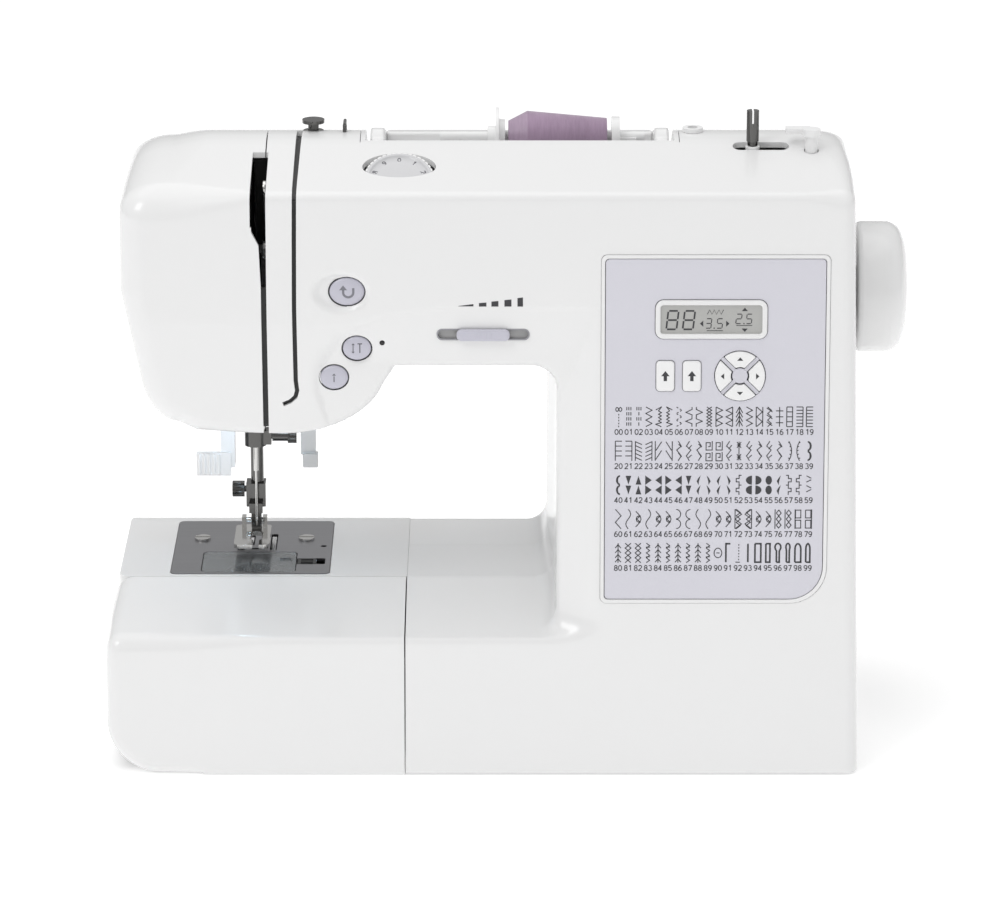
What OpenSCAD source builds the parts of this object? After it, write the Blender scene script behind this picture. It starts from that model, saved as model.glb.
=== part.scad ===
// Free-arm computerised sewing machine, built from its separate pieces.
// X runs to the handwheel, the control panel faces -Y, Z is up, in millimetres.
// The origin is at the middle of the footprint, on the table.

/* [Overall] */
// Overall width, from the tray's end to the handwheel's outer face
body_w = 388; // [376:1:410]
// Overall depth, from the foot of the front to the back of the column
body_d = 178; // [172:1:200]
// Height of the casing's top
top_z = 298; // [292:1:316]
// Height of the bed's deck
deck_z = 80; // [76:1:88]
// Clear height between the deck and the arm
throat_h = 120; // [110:1:130]
// Width of the column at the right
col_w = 141; // [136:1:150]
// Lean of the front faces, in degrees
lean = 5; // [2:0.5:7]

/* [Casing] */
// Thickness of the plastic covers
wall = 2.6; // [2:0.1:3.2]
// Gap along the seams between covers
seam = 0.6; // [0.4:0.1:1]
// Length of the sewing head along the arm
head_len = 126.5; // [122:0.5:140]
// How far the head hangs below the arm
head_drop = 33; // [28:1:38]
// Distance from the left end to the needle
needle_in = 69; // [66:1:74]
// Distance from the front to the needle
needle_back = 104; // [100:1:107]
// Distance from the left end to the tray's seam
tray_w = 145; // [140:1:150]
// Distance from the front to the free arm
tray_d = 63; // [58:1:64]
// Height of the free arm's underside
free_arm_z = 22; // [18:1:28]
// Clearance between the tray and the free arm
tray_gap = 0.6; // [0.4:0.1:1.2]
// Height of the crease along the foot of the bed's slope
crease_z = 68; // [62:1:72]
// Height of the rubber feet
foot_h = 4; // [3:0.5:6]

/* [Stitch plate] */
// Width of the needle plate
plate_w = 78; // [74:1:80]
// Depth of the needle plate
plate_l = 80; // [76:1:82]
// Thickness of the needle plate
plate_t = 1.6; // [1.2:0.1:2]
// Width of the bobbin cover
cover_w = 46; // [42:1:48]
// Depth of the bobbin cover
cover_l = 30; // [28:1:32]
// Radius of the rotary hook
hook_r = 16.4; // [15:0.2:16.6]

/* [Drive] */
// Radius of the handwheel
wheel_r = 32; // [28:0.5:36]
// Thickness of the handwheel
wheel_w = 24; // [20:1:26]
// Radius of the upper and lower shafts
shaft_r = 4; // [3.5:0.1:5]
// Stroke of the needle bar
stroke = 30; // [26:1:32]
// Radius of the needle bar
bar_r = 3.2; // [2.8:0.1:3.6]
// Running clearance between a shaft and its bush
run_gap = 0.05; // [0.03:0.01:0.09]
// Lift of the presser foot at rest
foot_lift = 6; // [4:0.5:7]

/* [Panel and buttons] */
// Width of the control panel
panel_w = 108.5; // [100:0.5:116]
// Height of the control panel
panel_h = 170; // [160:1:172]
// Thickness of the control panel
panel_t = 1.6; // [1.4:0.1:2]
// Width of the display's bezel
lcd_w = 53; // [44:1:56]
// Height of the display's bezel
lcd_h = 19; // [14:1:20]
// Outer radius of the ring of arrow keys
ring_r = 12; // [10:0.5:14]
// Clearance around buttons and keys
key_gap = 0.35; // [0.3:0.05:0.6]
// Travel length of the speed knob's slot
slot_w = 43; // [38:1:50]
// Width of the speed knob
knob_w = 25; // [20:1:28]

/* [Top] */
// Width of the carry handle
handle_w = 150; // [144:1:156]
// Radius of the spindle that winds bobbins
winder_r = 3; // [2.8:0.1:3.2]
// Radius of the thread tension dial
dial_r = 17.6; // [15:0.2:18]
// Radius of the spool of thread
spool_r = 12.4; // [9:0.2:13]
// Length of the spool of thread
spool_l = 48; // [40:1:52]
// Radius of the spool pin
pin_r = 2.4; // [2:0.1:3]

/* [Hidden] */
$fn = 48;
e = 0.01;
left = -body_w / 2;
right = body_w / 2;
front = -body_d / 2;
back = body_d / 2;
arm_z = deck_z + throat_h;
head_z = arm_z - head_drop;
crest_z = top_z - 14;
wheel_gap = 6;
case_r = right - wheel_w - wheel_gap;
draft = 5;
col_x = case_r - col_w;
bevel_w = 19;
bevel_d = 9;
head_l = left + 9.5;
head_r = head_l + head_len;
needle_x = left + needle_in;
needle_y = front + needle_back;
seam_x = left + tray_w;
arm_y0 = front + tray_d;
arm_y1 = back - 14;
arm_back = needle_y + 33.6;
split_y = needle_y + 7;
beam_y = needle_y + 21.5;
keel_y = needle_y + 35;
lift_y = needle_y + 22;
slot_x = needle_x + 9;
slot2_x = needle_x + 25;
slot_t = 2.6;
shaft_z = arm_z + 16.5;
low_z = free_arm_z + 16;
hook_x = needle_x - 1;
hook_y = needle_y - hook_r - 2.1;
hook_gear = 6;
low_y = needle_y;
low_gear = needle_y - hook_y - hook_gear - 0.4;
belt_x = case_r - 36;
pulley_r = 13;
presser_y = needle_y + 12;
plate_x = needle_x - 2;
plate_y = arm_y0 + tray_gap + 3.4 + plate_l / 2;
cover_x = needle_x - 3;
cover_y = needle_y - 5 - cover_l / 2;
latch_x = needle_x + 25.5;
latch_y = needle_y - 19;
crank = stroke / 2;
rod_l = 30;
stud_z = shaft_z + crank - rod_l;
clamp_z = deck_z + 63;
plate_z = deck_z + 0.4;
needle_tip = plate_z + 12;
panel_x = col_x + 21.5 + panel_w / 2 - 0.5;
panel_z = 86 + panel_h * cos(lean) / 2 + deck_z - 80;
panel_top = panel_z + panel_h * cos(lean) / 2;
lcd_x = panel_x - 2;
lcd_z = panel_top - 31.2;
key_x = panel_x - 17.4;
key_z = panel_top - 58.3;
ring_x = panel_x + 11.8;
button_x = needle_x + 50;
reverse_at = [button_x - 1.5, arm_z + 37.4];
reverse_size = [17, 13.6];
needle_at = [button_x + 3, arm_z + 9.9];
needle_size = [14, 12];
start_at = [button_x - 8, arm_z - 4.5];
start_size = [13.8, 12];
speed_at = [button_x + 63, arm_z + 16.8];
tub_x0 = needle_x + 54;
tub_x1 = tub_x0 + handle_w + 3;
tub_y0 = needle_y - 29;
tub_z = top_z - 24;
handle_y = needle_y - 22;
handle_z = top_z - 10;
handle_yb = needle_y + 18;
spool_y = needle_y - 3;
spool_z = top_z - 5;
spool_x = tub_x0 + 71;
dial_x = needle_x + 73;
dial_y = needle_y - 53;
winder_x = col_x + 94;
winder_y = needle_y - 33;
stop_x = winder_x + 28;
stop_y = needle_y - 37;
aux_x = col_x + 66;
aux_y = needle_y - 13;
aux_z = top_z + 0.1;
motor_y = needle_y - 55;
motor_z = 50;
sock_x = case_r + 1;
sock_y = needle_y + 9;
sock_z = 38;
sock_gap = 0.3;
take_y = needle_y - 23;
take_z = arm_z + 42;
holder_z = deck_z + 20;
foot_z = plate_z + foot_lift;
foot_pin_y = presser_y - 2;
foot_pin_z = foot_z + 6;

// Y of the leaning front face at height z
function fy(z) = front + z * tan(lean);
// Height of the sloping top at depth y, ahead of its highest line
function tz(y) = crest_z + (y - fy(crest_z)) * tan(14) - 0.5;
// Points along an ellipse's arc
function arc(c, rx, ry, a0, a1, n = 7) =
    [for (i = [0:n]) let (a = a0 + (a1 - a0) * i / n) c + [rx * cos(a), ry * sin(a)]];

// Places children on the front face: X right, Y up the face, Z outward
module on_face(x, z) {
    translate([x, fy(z), z]) rotate([90 - lean, 0, 0]) children();
}

// A cylinder along X, from x for length l
module xcyl(x, y, z, r, l) {
    translate([x, y, z]) rotate([0, 90, 0]) cylinder(r = r, h = l);
}

// A cylinder along Y, from y for length l
module ycyl(x, y, z, r, l) {
    translate([x, y, z]) rotate([-90, 0, 0]) cylinder(r = r, h = l);
}

// A box given by its two corners
module box(a, b) {
    translate(a) cube(b - a);
}

// An outline in X and Z, extruded along Y
module xz(y0, y1) {
    translate([0, y1, 0]) rotate([90, 0, 0]) linear_extrude(y1 - y0) children();
}

// An outline in Y and Z, extruded along X
module yz(x0, x1) {
    translate([x0, 0, 0]) rotate([90, 0, 90]) linear_extrude(x1 - x0) children();
}

// A rectangle with one corner radius, centred
module slab(w, h, r) {
    square([w - 2 * r, h], center = true);
    square([w, h - 2 * r], center = true);
    for (x = [-1, 1], y = [-1, 1]) translate([x * (w / 2 - r), y * (h / 2 - r)]) circle(r);
}

// Front outline of the column, arm and head, inset by t
function upper_outline(t) = concat(
    [[case_r + draft - t, 4 - t]],
    arc([case_r - 14, top_z - 14], 14 - t, 14 - t, 0, 90),
    arc([head_l + 22, top_z - 26], 22 - t, 26 - t, 90, 180),
    [[head_l + t, arm_z + 36]],
    arc([head_l + 26, arm_z + 2], 18 - t, 31 - t, 195, 270, 5),
    [[needle_x - 24, head_z + t]],
    arc([head_r - 50, arm_z], 50 - t, head_drop - t, 270, 345),
    [[head_r + 4, arm_z + t]],
    arc([col_x - 12, arm_z - 12], 12 + t, 12 + t, 90, 0, 5),
    [[col_x + t, 4 - t]]);

// Side outline of the arm and column, inset by t
function upper_profile(t) = concat(
    [[fy(4) + t, 4 - t]],
    arc([fy(crest_z) + 5.2, crest_z - 4], 5 - t, 5 - t, 178, 104, 4),
    arc([needle_y - 17, top_z - 60], 60 - t, 60 - t, 104, 40),
    arc([arm_back - 20, top_z - 34.3], 20 - t, 20 - t, 40, 0, 4),
    [[arm_back - t, arm_z + 20], [back - t, arm_z - 75], [back - t, 4 - t]]);

// Side outline of the bed, inset by t
function bed_profile(t) = concat(
    [[fy(4) + t, 4 - t], [fy(crease_z) + t, crease_z - t * 0.3]],
    [[arm_y0, deck_z - t]],
    arc([arm_y1 - 14, deck_z - 14], 14 - t, 14 - t, 90, 0, 4),
    [[arm_y1 - t, 4 - t]]);

// Solid of the column, arm and head, inset by t, with its back stepped in left of the column
module upper(t) {
    difference() {
        intersection() {
            xz(front - 1, back + 1) polygon(upper_outline(t));
            yz(left - 1, right + 1) polygon(upper_profile(t));
        }
        box([left - 2, arm_back - t, deck_z], [col_x + t, back + 2, arm_z + 21]);
        throat_bevel(t);
    }
}

// Solid of the bed to the right of the tray's seam, inset by t
module bed(t) {
    intersection() {
        yz(seam_x + t, case_r + draft - t) polygon(bed_profile(t));
        xz(front - 1, back + 1)
            polygon([[seam_x, 4 - t], [case_r + draft - t, 4 - t], [case_r + draft * 0.7 - t, deck_z],
                [seam_x, deck_z]]);
    }
}

// Hollow casing, open underneath
module casing() {
    difference() {
        union() {
            upper(0);
            bed(0);
        }
        upper(wall);
        bed(wall);
        casing_cuts();
    }
}

// Wedge that turns the front face into the opening, set back by t
module throat_bevel(t) {
    on_face(col_x + bevel_w, deck_z - 14) rotate([-90, 0, 0])
        linear_extrude((arm_z + 8 - deck_z + 14) / cos(lean))
            polygon([[0, t], [-bevel_w - 1, bevel_d + t], [-bevel_w - 1, -20], [6, -20], [6, t]]);
}

// Every opening in the casing
module casing_cuts() {
    panel_cut();
    button_cuts();
    slot_cuts();
    tub_cut();
    top_cuts();
    side_cuts();
}

// Window and step that the control panel sits in
module panel_cut() {
    on_face(panel_x, panel_z) {
        translate([0, 0, 0.3 - panel_t]) linear_extrude(4) panel_outline(0.15);
        translate([-4, 30, -6]) linear_extrude(8) slab(panel_w - 30, panel_h - 76, 4);
    }
}

// Outline of the panel, grown by g, with one large lower corner
module panel_outline(g) {
    w = panel_w + 2 * g;
    h = panel_h + 2 * g;
    difference() {
        slab(w, h, 3);
        translate([w / 2 - 18, -h / 2]) square([19, 18]);
    }
    translate([w / 2 - 18, 18 - h / 2]) circle(18);
}

// Holes for the three buttons, the lamp and the speed knob
module button_cuts() {
    button_hole(reverse_at, reverse_size);
    button_hole(needle_at, needle_size);
    button_hole(start_at, start_size);
    on_face(button_x + 15, arm_z + 12.5) translate([0, 0, -6]) cylinder(r = 1.3, h = 8);
    on_face(speed_at[0], speed_at[1]) translate([0, 0, -6]) linear_extrude(8) slab(slot_w - 14, 3, 1.4);
}

// Hole for an oval button at p, of the given size
module button_hole(p, size) {
    on_face(p[0], p[1]) translate([0, 0, -6]) linear_extrude(8) oval(size[0], size[1], key_gap);
}

// An oval w by h, grown by g
module oval(w, h, g) {
    polygon(arc([0, 0], w / 2 + g, h / 2 + g, 0, 348, 29));
}

// Threading slots in the front of the head
module slot_cuts() {
    box([slot_x - slot_t / 2, front, head_z - 2], [slot_x + slot_t / 2, needle_y - 55, top_z]);
    box([slot_x - 6.2, front, arm_z + 70], [slot_x + slot_t / 2, needle_y - 11, top_z + 1]);
    box([slot2_x - slot_t / 2, front, head_z + 17], [slot2_x + slot_t / 2, needle_y - 11, top_z + 1]);
    box([slot2_x - 9, front, head_z + 17], [slot2_x, needle_y - 55, head_z + 19.6]);
}

// Opening that the tub sits in
module tub_cut() {
    box([tub_x0 - 0.3, tub_y0 - 0.3, tub_z - 3], [tub_x1 + 0.3, arm_back + 11.4, top_z + 10]);
}

// Openings in the top of the casing
module top_cuts() {
    translate([dial_x, dial_y, top_z - 30]) linear_extrude(40)
        polygon(concat(arc([0, 0], dial_r, 13, 0, 180, 14), arc([0, 0], dial_r, 9.5, 195, 345, 10)));
    dial_place() translate([0, 0, -12]) cylinder(r = dial_r + 0.6, h = 12.4);
    translate([winder_x + 4, winder_y, top_z - 20]) linear_extrude(40) slab(26, 7.2, 3.5);
    translate([stop_x, stop_y, top_z - 20]) cylinder(r = 3.4, h = 40);
    translate([aux_x, aux_y, top_z - 20]) cylinder(r = 4.2, h = 40);
}

// Places children at the middle of the dial's face, Z along its axis
module dial_place() {
    translate([dial_x, dial_y - 5.3, tz(dial_y) - 2.6]) rotate([30, 0, 0]) children();
}

// Openings in the right side, the back and the underside of the head
module side_cuts() {
    xcyl(case_r - 20, needle_y, shaft_z, 12.5, 40);
    box([case_r - 10, sock_y - 34 - sock_gap, sock_z - 17 - sock_gap],
        [case_r + 20, sock_y + 34 + sock_gap, sock_z + 17 + sock_gap]);
    box([needle_x - 34, needle_y - 16, head_z - 6], [needle_x + 40, needle_y + 31, head_z + 6]);
    box([seam_x - 5, arm_y0 + 10, free_arm_z + 3], [seam_x + 6, arm_y1 - 8, deck_z - 6]);
    box([needle_x + 3.9, lift_y - 7, head_z - 5], [needle_x + 12.4, lift_y + 23, arm_z - 6]);
    box([seam_x + 24, arm_y1 - 15, free_arm_z + 10], [seam_x + 46, arm_y1 + 5, free_arm_z + 20]);
}

// Casing around the column, arm and bed, in front of the seam
module front_cover() {
    color([0.94, 0.94, 0.94]) intersection() {
        casing();
        box([slot_x + seam / 2, front - 1, -1], [right, split_y - seam / 2, top_z + 1]);
    }
}

// Casing behind the seam
module rear_cover() {
    color([0.93, 0.93, 0.93]) intersection() {
        casing();
        union() {
            box([slot_x + seam / 2, split_y + seam / 2, -1], [right, back + 1, top_z + 1]);
            box([seam_x - 1, split_y + seam / 2, -1], [right, back + 1, deck_z + 1]);
        }
    }
}

// End cover of the sewing head, with its thread cutting blade
module face_cover() {
    color([0.94, 0.94, 0.94]) difference() {
        intersection() {
            casing();
            box([left - 1, front - 1, head_z - 1], [slot_x - seam / 2, back, top_z + 1]);
        }
        box([left, front + 29, arm_z - 19], [head_l + 16, front + 71, arm_z - 11]);
    }
    color([0.75, 0.76, 0.78]) {
        box([head_l + 12.6, front + 32, arm_z - 17.5], [head_l + 16.6, front + 68, arm_z - 12.5]);
        box([head_l + 9.5, front + 32, arm_z - 15.4], [head_l + 13, front + 68, arm_z - 14.6]);
    }
}

// Bottom of the casing
module base_plate() {
    color([0.86, 0.86, 0.87]) difference() {
        intersection() {
            union() {
                upper(wall + 0.4);
                bed(wall + 0.4);
            }
            box([seam_x, front, 4.5], [right, back, 7.5]);
        }
        for (i = [0:5]) box([col_x + 30 + i * 12, needle_y - 35, 0],
            [col_x + 34 + i * 12, needle_y + 15, 10]);
        for (x = [seam_x + 14, case_r - 12], y = [front + 18, back - 24])
            translate([x, y, 0]) cylinder(r = 3, h = 20);
    }
}

// Four rubber feet, with stems through the base
module rubber_feet() {
    color([0.25, 0.25, 0.26]) for (x = [seam_x + 14, case_r - 12], y = [front + 18, back - 24])
        translate([x, y, 0]) {
            cylinder(r = 8, h = foot_h);
            cylinder(r = 2.9, h = 9);
        }
}

// Plan outline of the free arm, inset by t
module arm_plan(t) {
    polygon(concat(
        [[seam_x - seam, arm_y1 - t], [seam_x - seam, arm_y0 + tray_gap + t]],
        arc([left + 8, arm_y0 + tray_gap + 5], 5 - t, 5 - t, 270, 180, 4),
        arc([left + 17, arm_y1 - 14], 14 - t, 14 - t, 180, 90, 5)));
}

// Side outline of the free arm, inset by t
module arm_side(t) {
    polygon(concat(
        [[arm_y0 + tray_gap + t, free_arm_z + t], [arm_y0 + tray_gap + t, deck_z - t]],
        arc([arm_y1 - 12, deck_z - 12], 12 - t, 12 - t, 90, 0, 4),
        arc([arm_y1 - 12, free_arm_z + 12], 12 - t, 12 - t, 0, -90, 4)));
}

// Cover of the free arm, open towards the column
module free_arm_shell() {
    color([0.93, 0.93, 0.93]) difference() {
        intersection() {
            translate([0, 0, free_arm_z]) linear_extrude(deck_z - free_arm_z) arm_plan(0);
            yz(left, seam_x) arm_side(0);
        }
        intersection() {
            translate([0, 0, free_arm_z]) linear_extrude(deck_z - free_arm_z) arm_plan(2.2);
            yz(left, seam_x + 1) arm_side(2.2);
        }
        translate([plate_x, plate_y, plate_z - plate_t - 0.05])
            linear_extrude(5) slab(plate_w + 0.6, plate_l + 0.6, 3);
        translate([plate_x, plate_y, deck_z - 6]) linear_extrude(7) slab(plate_w - 5, plate_l - 4, 3);
    }
}

// Steel plate under the needle, with slots for the feed teeth
module needle_plate() {
    color([0.62, 0.63, 0.65]) translate([0, 0, plate_z - plate_t]) difference() {
        translate([plate_x, plate_y, 0]) linear_extrude(plate_t) slab(plate_w, plate_l, 2.7);
        translate([cover_x, cover_y, -1]) linear_extrude(4) slab(cover_w + 0.8, cover_l + 0.8, 3);
        translate([latch_x + 2, latch_y, -1]) linear_extrude(4) slab(14, 8.8, 1);
        translate([needle_x, needle_y, -1]) linear_extrude(4) slab(7, 2, 0.95);
        for (x = [-8, 8]) translate([needle_x + x, needle_y + 10, -1]) linear_extrude(4) slab(3.4, 25, 1);
        for (x = [-3, 3]) translate([needle_x + x, needle_y + 14, -1]) linear_extrude(4) slab(2.8, 17, 1);
        for (x = [-26, 26]) translate([plate_x + x, plate_y - plate_l / 2 + 52, -1])
            cylinder(r = 1.7, h = 4);
        translate([needle_x + 33, needle_y + 4, -1]) cylinder(r = 1.5, h = 4);
    }
}

// Two screws that hold the needle plate
module plate_screws() {
    color([0.7, 0.7, 0.72]) for (x = [-26, 26])
        translate([plate_x + x, plate_y - plate_l / 2 + 52, plate_z]) difference() {
            union() {
                translate([0, 0, 0.05]) cylinder(r = 4, h = 1.1);
                translate([0, 0, -7]) cylinder(r = 1.5, h = 7.1);
            }
            translate([-5, -0.6, 0.7]) cube([10, 1.2, 2]);
        }
}

// Clear cover over the bobbin
module bobbin_cover() {
    color([0.8, 0.82, 0.84, 0.6]) translate([cover_x, cover_y, plate_z - plate_t]) difference() {
        linear_extrude(plate_t) slab(cover_w, cover_l, 2.6);
        translate([cover_w / 2 - 5, 0, plate_t - 0.7]) linear_extrude(2) slab(6, 12, 1);
    }
}

// Sliding latch that frees the bobbin cover
module cover_latch() {
    color([0.1, 0.1, 0.1]) translate([latch_x, latch_y, plate_z - plate_t]) {
        linear_extrude(plate_t) slab(9.2, 8, 0.8);
        for (y = [-2.4, 0, 2.4]) translate([-3, y - 0.5, plate_t - e]) cube([6, 1, 0.5]);
    }
}

// Rotary hook with its shaft and small gear
module rotary_hook() {
    color([0.72, 0.73, 0.75]) translate([hook_x, hook_y, 0]) {
        difference() {
            translate([0, 0, deck_z - 26]) cylinder(r = hook_r, h = 16);
            translate([0, 0, deck_z - 24.4]) cylinder(r = hook_r - 1.3, h = 20);
            rotate([0, 0, 30]) translate([8, 0, deck_z - 19]) cube([12, 7, 12]);
        }
        translate([0, 0, low_z - 6]) cylinder(r = 3, h = deck_z - 25 - low_z + 6);
        translate([0, 0, low_z - 6]) gear(hook_gear, 12, 12);
    }
}

// Gear of outer radius r, height h and n teeth, toothed between z0 and z1
module gear(r, h, n, z0 = -1, z1 = 99) {
    w = r * 3.1 / n;
    difference() {
        cylinder(r = r - 0.15, h = h);
        for (i = [0:n - 1]) rotate([0, 0, i * 360 / n])
            translate([r - 1.4, -w / 2, z0]) cube([3, w, z1 - z0]);
    }
}

// Cup that holds the bobbin still
module bobbin_case() {
    color([0.15, 0.15, 0.16]) translate([hook_x, hook_y, deck_z - 24]) difference() {
        cylinder(r = hook_r - 2, h = 17.4);
        translate([0, 0, 1.8]) cylinder(r = 11.4, h = 20);
        translate([-3, 8, 8]) cube([2, 8, 12]);
    }
}

// Bobbin: two flanges on a core, wound with thread
module bobbin() {
    color([0.85, 0.86, 0.88]) translate([hook_x, hook_y, deck_z - 21.8]) difference() {
        union() {
            cylinder(r = 10.2, h = 1);
            cylinder(r = 8.4, h = 11.4);
            translate([0, 0, 10.4]) cylinder(r = 10.2, h = 1);
        }
        translate([0, 0, -1]) cylinder(r = winder_r + 0.1, h = 20);
    }
}

// Toothed feed bars on their carrier
module feed_dog() {
    color([0.6, 0.61, 0.63]) {
        for (x = [-8, 8]) feed_row(needle_x + x, needle_y + 1, needle_y + 19, 2.2);
        for (x = [-3, 3]) feed_row(needle_x + x, needle_y + 9, needle_y + 19, 1.6);
        box([needle_x - 9.1, needle_y + 13, plate_z - 9], [needle_x + 9.1, needle_y + 19, plate_z - 3.4]);
    }
}

// One row of feed teeth from y0 to y1, w wide
module feed_row(x, y0, y1, w) {
    box([x - w / 2, y0, plate_z - 3.6], [x + w / 2, y1, plate_z - 0.9]);
    for (y = [y0:1.5:y1 - 1.5]) yz(x - w / 2, x + w / 2)
        polygon([[y, plate_z - 1], [y + 1.4, plate_z - 1], [y + 1.4, plate_z - 0.2]]);
}

// Storage tray that slides off around the free arm
module accessory_tray() {
    color([0.94, 0.94, 0.94]) difference() {
        union() {
            intersection() {
                yz(left - 1, seam_x - seam) polygon([[fy(0) + 0.2, 0.6], [fy(crease_z), crease_z],
                    [arm_y0 - e, deck_z], [arm_y0 - e, 0.6]]);
                xz(front - 1, back) tray_face(0);
            }
            intersection() {
                yz(left - 1, seam_x - seam) polygon([[arm_y0 - 8, 0.6],
                    [arm_y0 - 8, free_arm_z - tray_gap],
                    [arm_y1, free_arm_z - tray_gap], [arm_y1, 12], [arm_y1 - 6, 0.6]]);
                xz(front - 1, back) tray_face(0);
            }
        }
        intersection() {
            yz(left - 1, seam_x) polygon([[fy(0) + wall, 3.2], [fy(crease_z) + wall, crease_z - 1.4],
                [arm_y0 - 8, deck_z - 6], [arm_y0 + 1, deck_z - 8], [arm_y0 + 1, free_arm_z + 4],
                [arm_y0 - 4, 3.2]]);
            xz(front - 1, back) tray_face(wall);
        }
        intersection() {
            box([left - 1, arm_y0, -2], [seam_x, arm_y1 - 3, free_arm_z - 3.2]);
            xz(front - 1, back) tray_face(wall);
        }
    }
}

// Front outline of the tray, inset by t
module tray_face(t) {
    polygon(concat(
        [[seam_x - seam - t, 0.6 + t * 0.9], [seam_x - seam - t, deck_z + 1 - t]],
        [[left + 4.5 + t, deck_z + 1 - t], [left + 1 + t, crease_z + 2], [left + t, crease_z - 12]],
        arc([left + 26, 26], 26 - t, 26 - t, 170, 262, 6)));
}

// Cast frame: beams of the arm, column and bed, bearing lugs, pins and hook race
module cast_frame() {
    color([0.55, 0.56, 0.58]) {
        difference() {
            frame_beams();
            frame_bores();
        }
        frame_pins();
    }
}

// Beams and lugs of the frame, before boring
module frame_beams() {
    box([needle_x - 14, beam_y, clamp_z + 10], [needle_x + 30, beam_y + 6, tub_z - 6]);
    box([needle_x + 28, beam_y, arm_z + 6], [col_x + 40, beam_y + 6, tub_z - 6]);
    box([col_x + 14, beam_y, 12], [col_x + 40, beam_y + 6, arm_z + 20]);
    box([left + 20, keel_y, free_arm_z + 8], [col_x + 40, keel_y + 6, deck_z - 18]);
    box([col_x + 14, beam_y + 4.5, free_arm_z + 8], [col_x + 40, keel_y + 2, deck_z - 18]);
    box([seam_x + 4, needle_y - 1, 7.6], [col_x + 40, keel_y + 2, 12.6]);
    for (x = [needle_x + 30, col_x + 24]) lug(x, shaft_z, beam_y + 0.5);
    for (x = [hook_x + 22, col_x + 24]) lug(x, low_z, keel_y + 1);
    for (z = [clamp_z + 10, shaft_z + 32]) box([needle_x - 9, needle_y - 8, z],
        [needle_x + 7, beam_y + 1.5, z + 12]);
    box([hook_x - 13, hook_y - 8, deck_z - 34], [hook_x + 8, hook_y + 5, deck_z - 28.4]);
    box([hook_x - 22, hook_y - 4, deck_z - 34], [hook_x - 9, keel_y + 1, deck_z - 29]);
    translate([hook_x, hook_y, deck_z - 28.5]) difference() {
        cylinder(r = hook_r + 1.9, h = 10);
        translate([0, 0, 2]) cylinder(r = hook_r + 0.6, h = 20);
        translate([0, 16, 8]) cube([9, 14, 9], center = true);
    }
}

// Bores through the lugs, and the gap for the lifting lever
module frame_bores() {
    xcyl(left, needle_y, shaft_z, shaft_r + 2.5, body_w);
    xcyl(hook_x + 15, low_y, low_z, shaft_r + 2.5, body_w);
    translate([needle_x, needle_y, 0]) cylinder(r = bar_r + 1.8, h = top_z);
    translate([needle_x, presser_y, clamp_z]) cylinder(r = bar_r + 0.35, h = top_z);
    translate([hook_x, hook_y, 0]) cylinder(r = 3.4, h = deck_z - 10);
    box([needle_x + 3.9, lift_y - 15, clamp_z + 5], [needle_x + 12.4, lift_y + 7, arm_z - 2]);
}

// Pins that the take-up lever and the lifting lever turn on
module frame_pins() {
    xcyl(slot_x - 6, take_y, take_z, 2, 14);
    xcyl(slot_x + 3, take_y, take_z, 4, 5);
    box([slot_x + 4, take_y, take_z - 3], [slot_x + 8, beam_y + 0.5, take_z + 3]);
    xcyl(needle_x + 2, lift_y, arm_z - 18.5, 1.6, 14);
    box([needle_x - 6, lift_y - 3, arm_z - 22.5], [needle_x + 3.5, lift_y + 6, arm_z - 14.5]);
    box([needle_x + 13, lift_y - 3, arm_z - 22.5], [needle_x + 16.6, lift_y + 6, arm_z - 14.5]);
    dial_place() translate([0, 0, -32]) cylinder(r = 2, h = 30);
    box([dial_x - 4, dial_y + 6, tub_z - 22], [dial_x + 4, beam_y + 0.5, tub_z - 15]);
}

// Bearing lug that reaches from the beam at y to a shaft at height z
module lug(x, z, y) {
    box([x, needle_y, z - 10], [x + 9, y, z + 10]);
    xcyl(x, needle_y, z, 10, 9);
}

// Sintered bush on a shaft
module bush(x, z) {
    difference() {
        xcyl(x - 0.5, needle_y, z, shaft_r + 2.48, 10);
        xcyl(x - 2, needle_y, z, shaft_r + run_gap, 14);
    }
}

// Bronze bushes: four on the shafts and two on the needle bar
module bushes() {
    color([0.7, 0.55, 0.3]) {
        for (x = [needle_x + 30, col_x + 24]) bush(x, shaft_z);
        for (x = [hook_x + 22, col_x + 24]) bush(x, low_z);
        for (z = [clamp_z + 9.5, shaft_z + 31.5]) translate([needle_x, needle_y, z]) difference() {
            cylinder(r = bar_r + 1.78, h = 13);
            translate([0, 0, -1]) cylinder(r = bar_r + run_gap, h = 20);
        }
    }
}

// Handwheel with a domed face and finger grooves
module handwheel() {
    color([0.93, 0.93, 0.93]) translate([case_r + wheel_gap, needle_y, shaft_z])
        rotate([0, 90, 0]) difference() {
        union() {
            rotate_extrude() polygon([[shaft_r + 0.02, 0], [wheel_r - 1.5, 0], [wheel_r, 1.5],
                [wheel_r, wheel_w - 8], [wheel_r - 3.6, wheel_w - 2.6], [wheel_r - 11, wheel_w],
                [shaft_r + 0.02, wheel_w]]);
            translate([0, 0, -14]) difference() {
                cylinder(r = 10, h = 15);
                translate([0, 0, -1]) cylinder(r = shaft_r + 0.02, h = 20);
            }
        }
        for (i = [0:23]) rotate([0, 0, i * 15]) translate([wheel_r + 0.5, 0, 2.5])
            cylinder(r = 1.1, h = wheel_w - 11);
    }
}

// Upper shaft with its crank disc and pin
module upper_shaft() {
    color([0.66, 0.67, 0.7]) {
        xcyl(needle_x + 18, needle_y, shaft_z, shaft_r, right - 7.2 - needle_x - 18);
        xcyl(needle_x + 18, needle_y, shaft_z, crank + 6, 7);
        xcyl(needle_x + 13, needle_y, shaft_z + crank, 2.5, 6);
        pulley(belt_x, shaft_z, pulley_r);
    }
}

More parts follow.
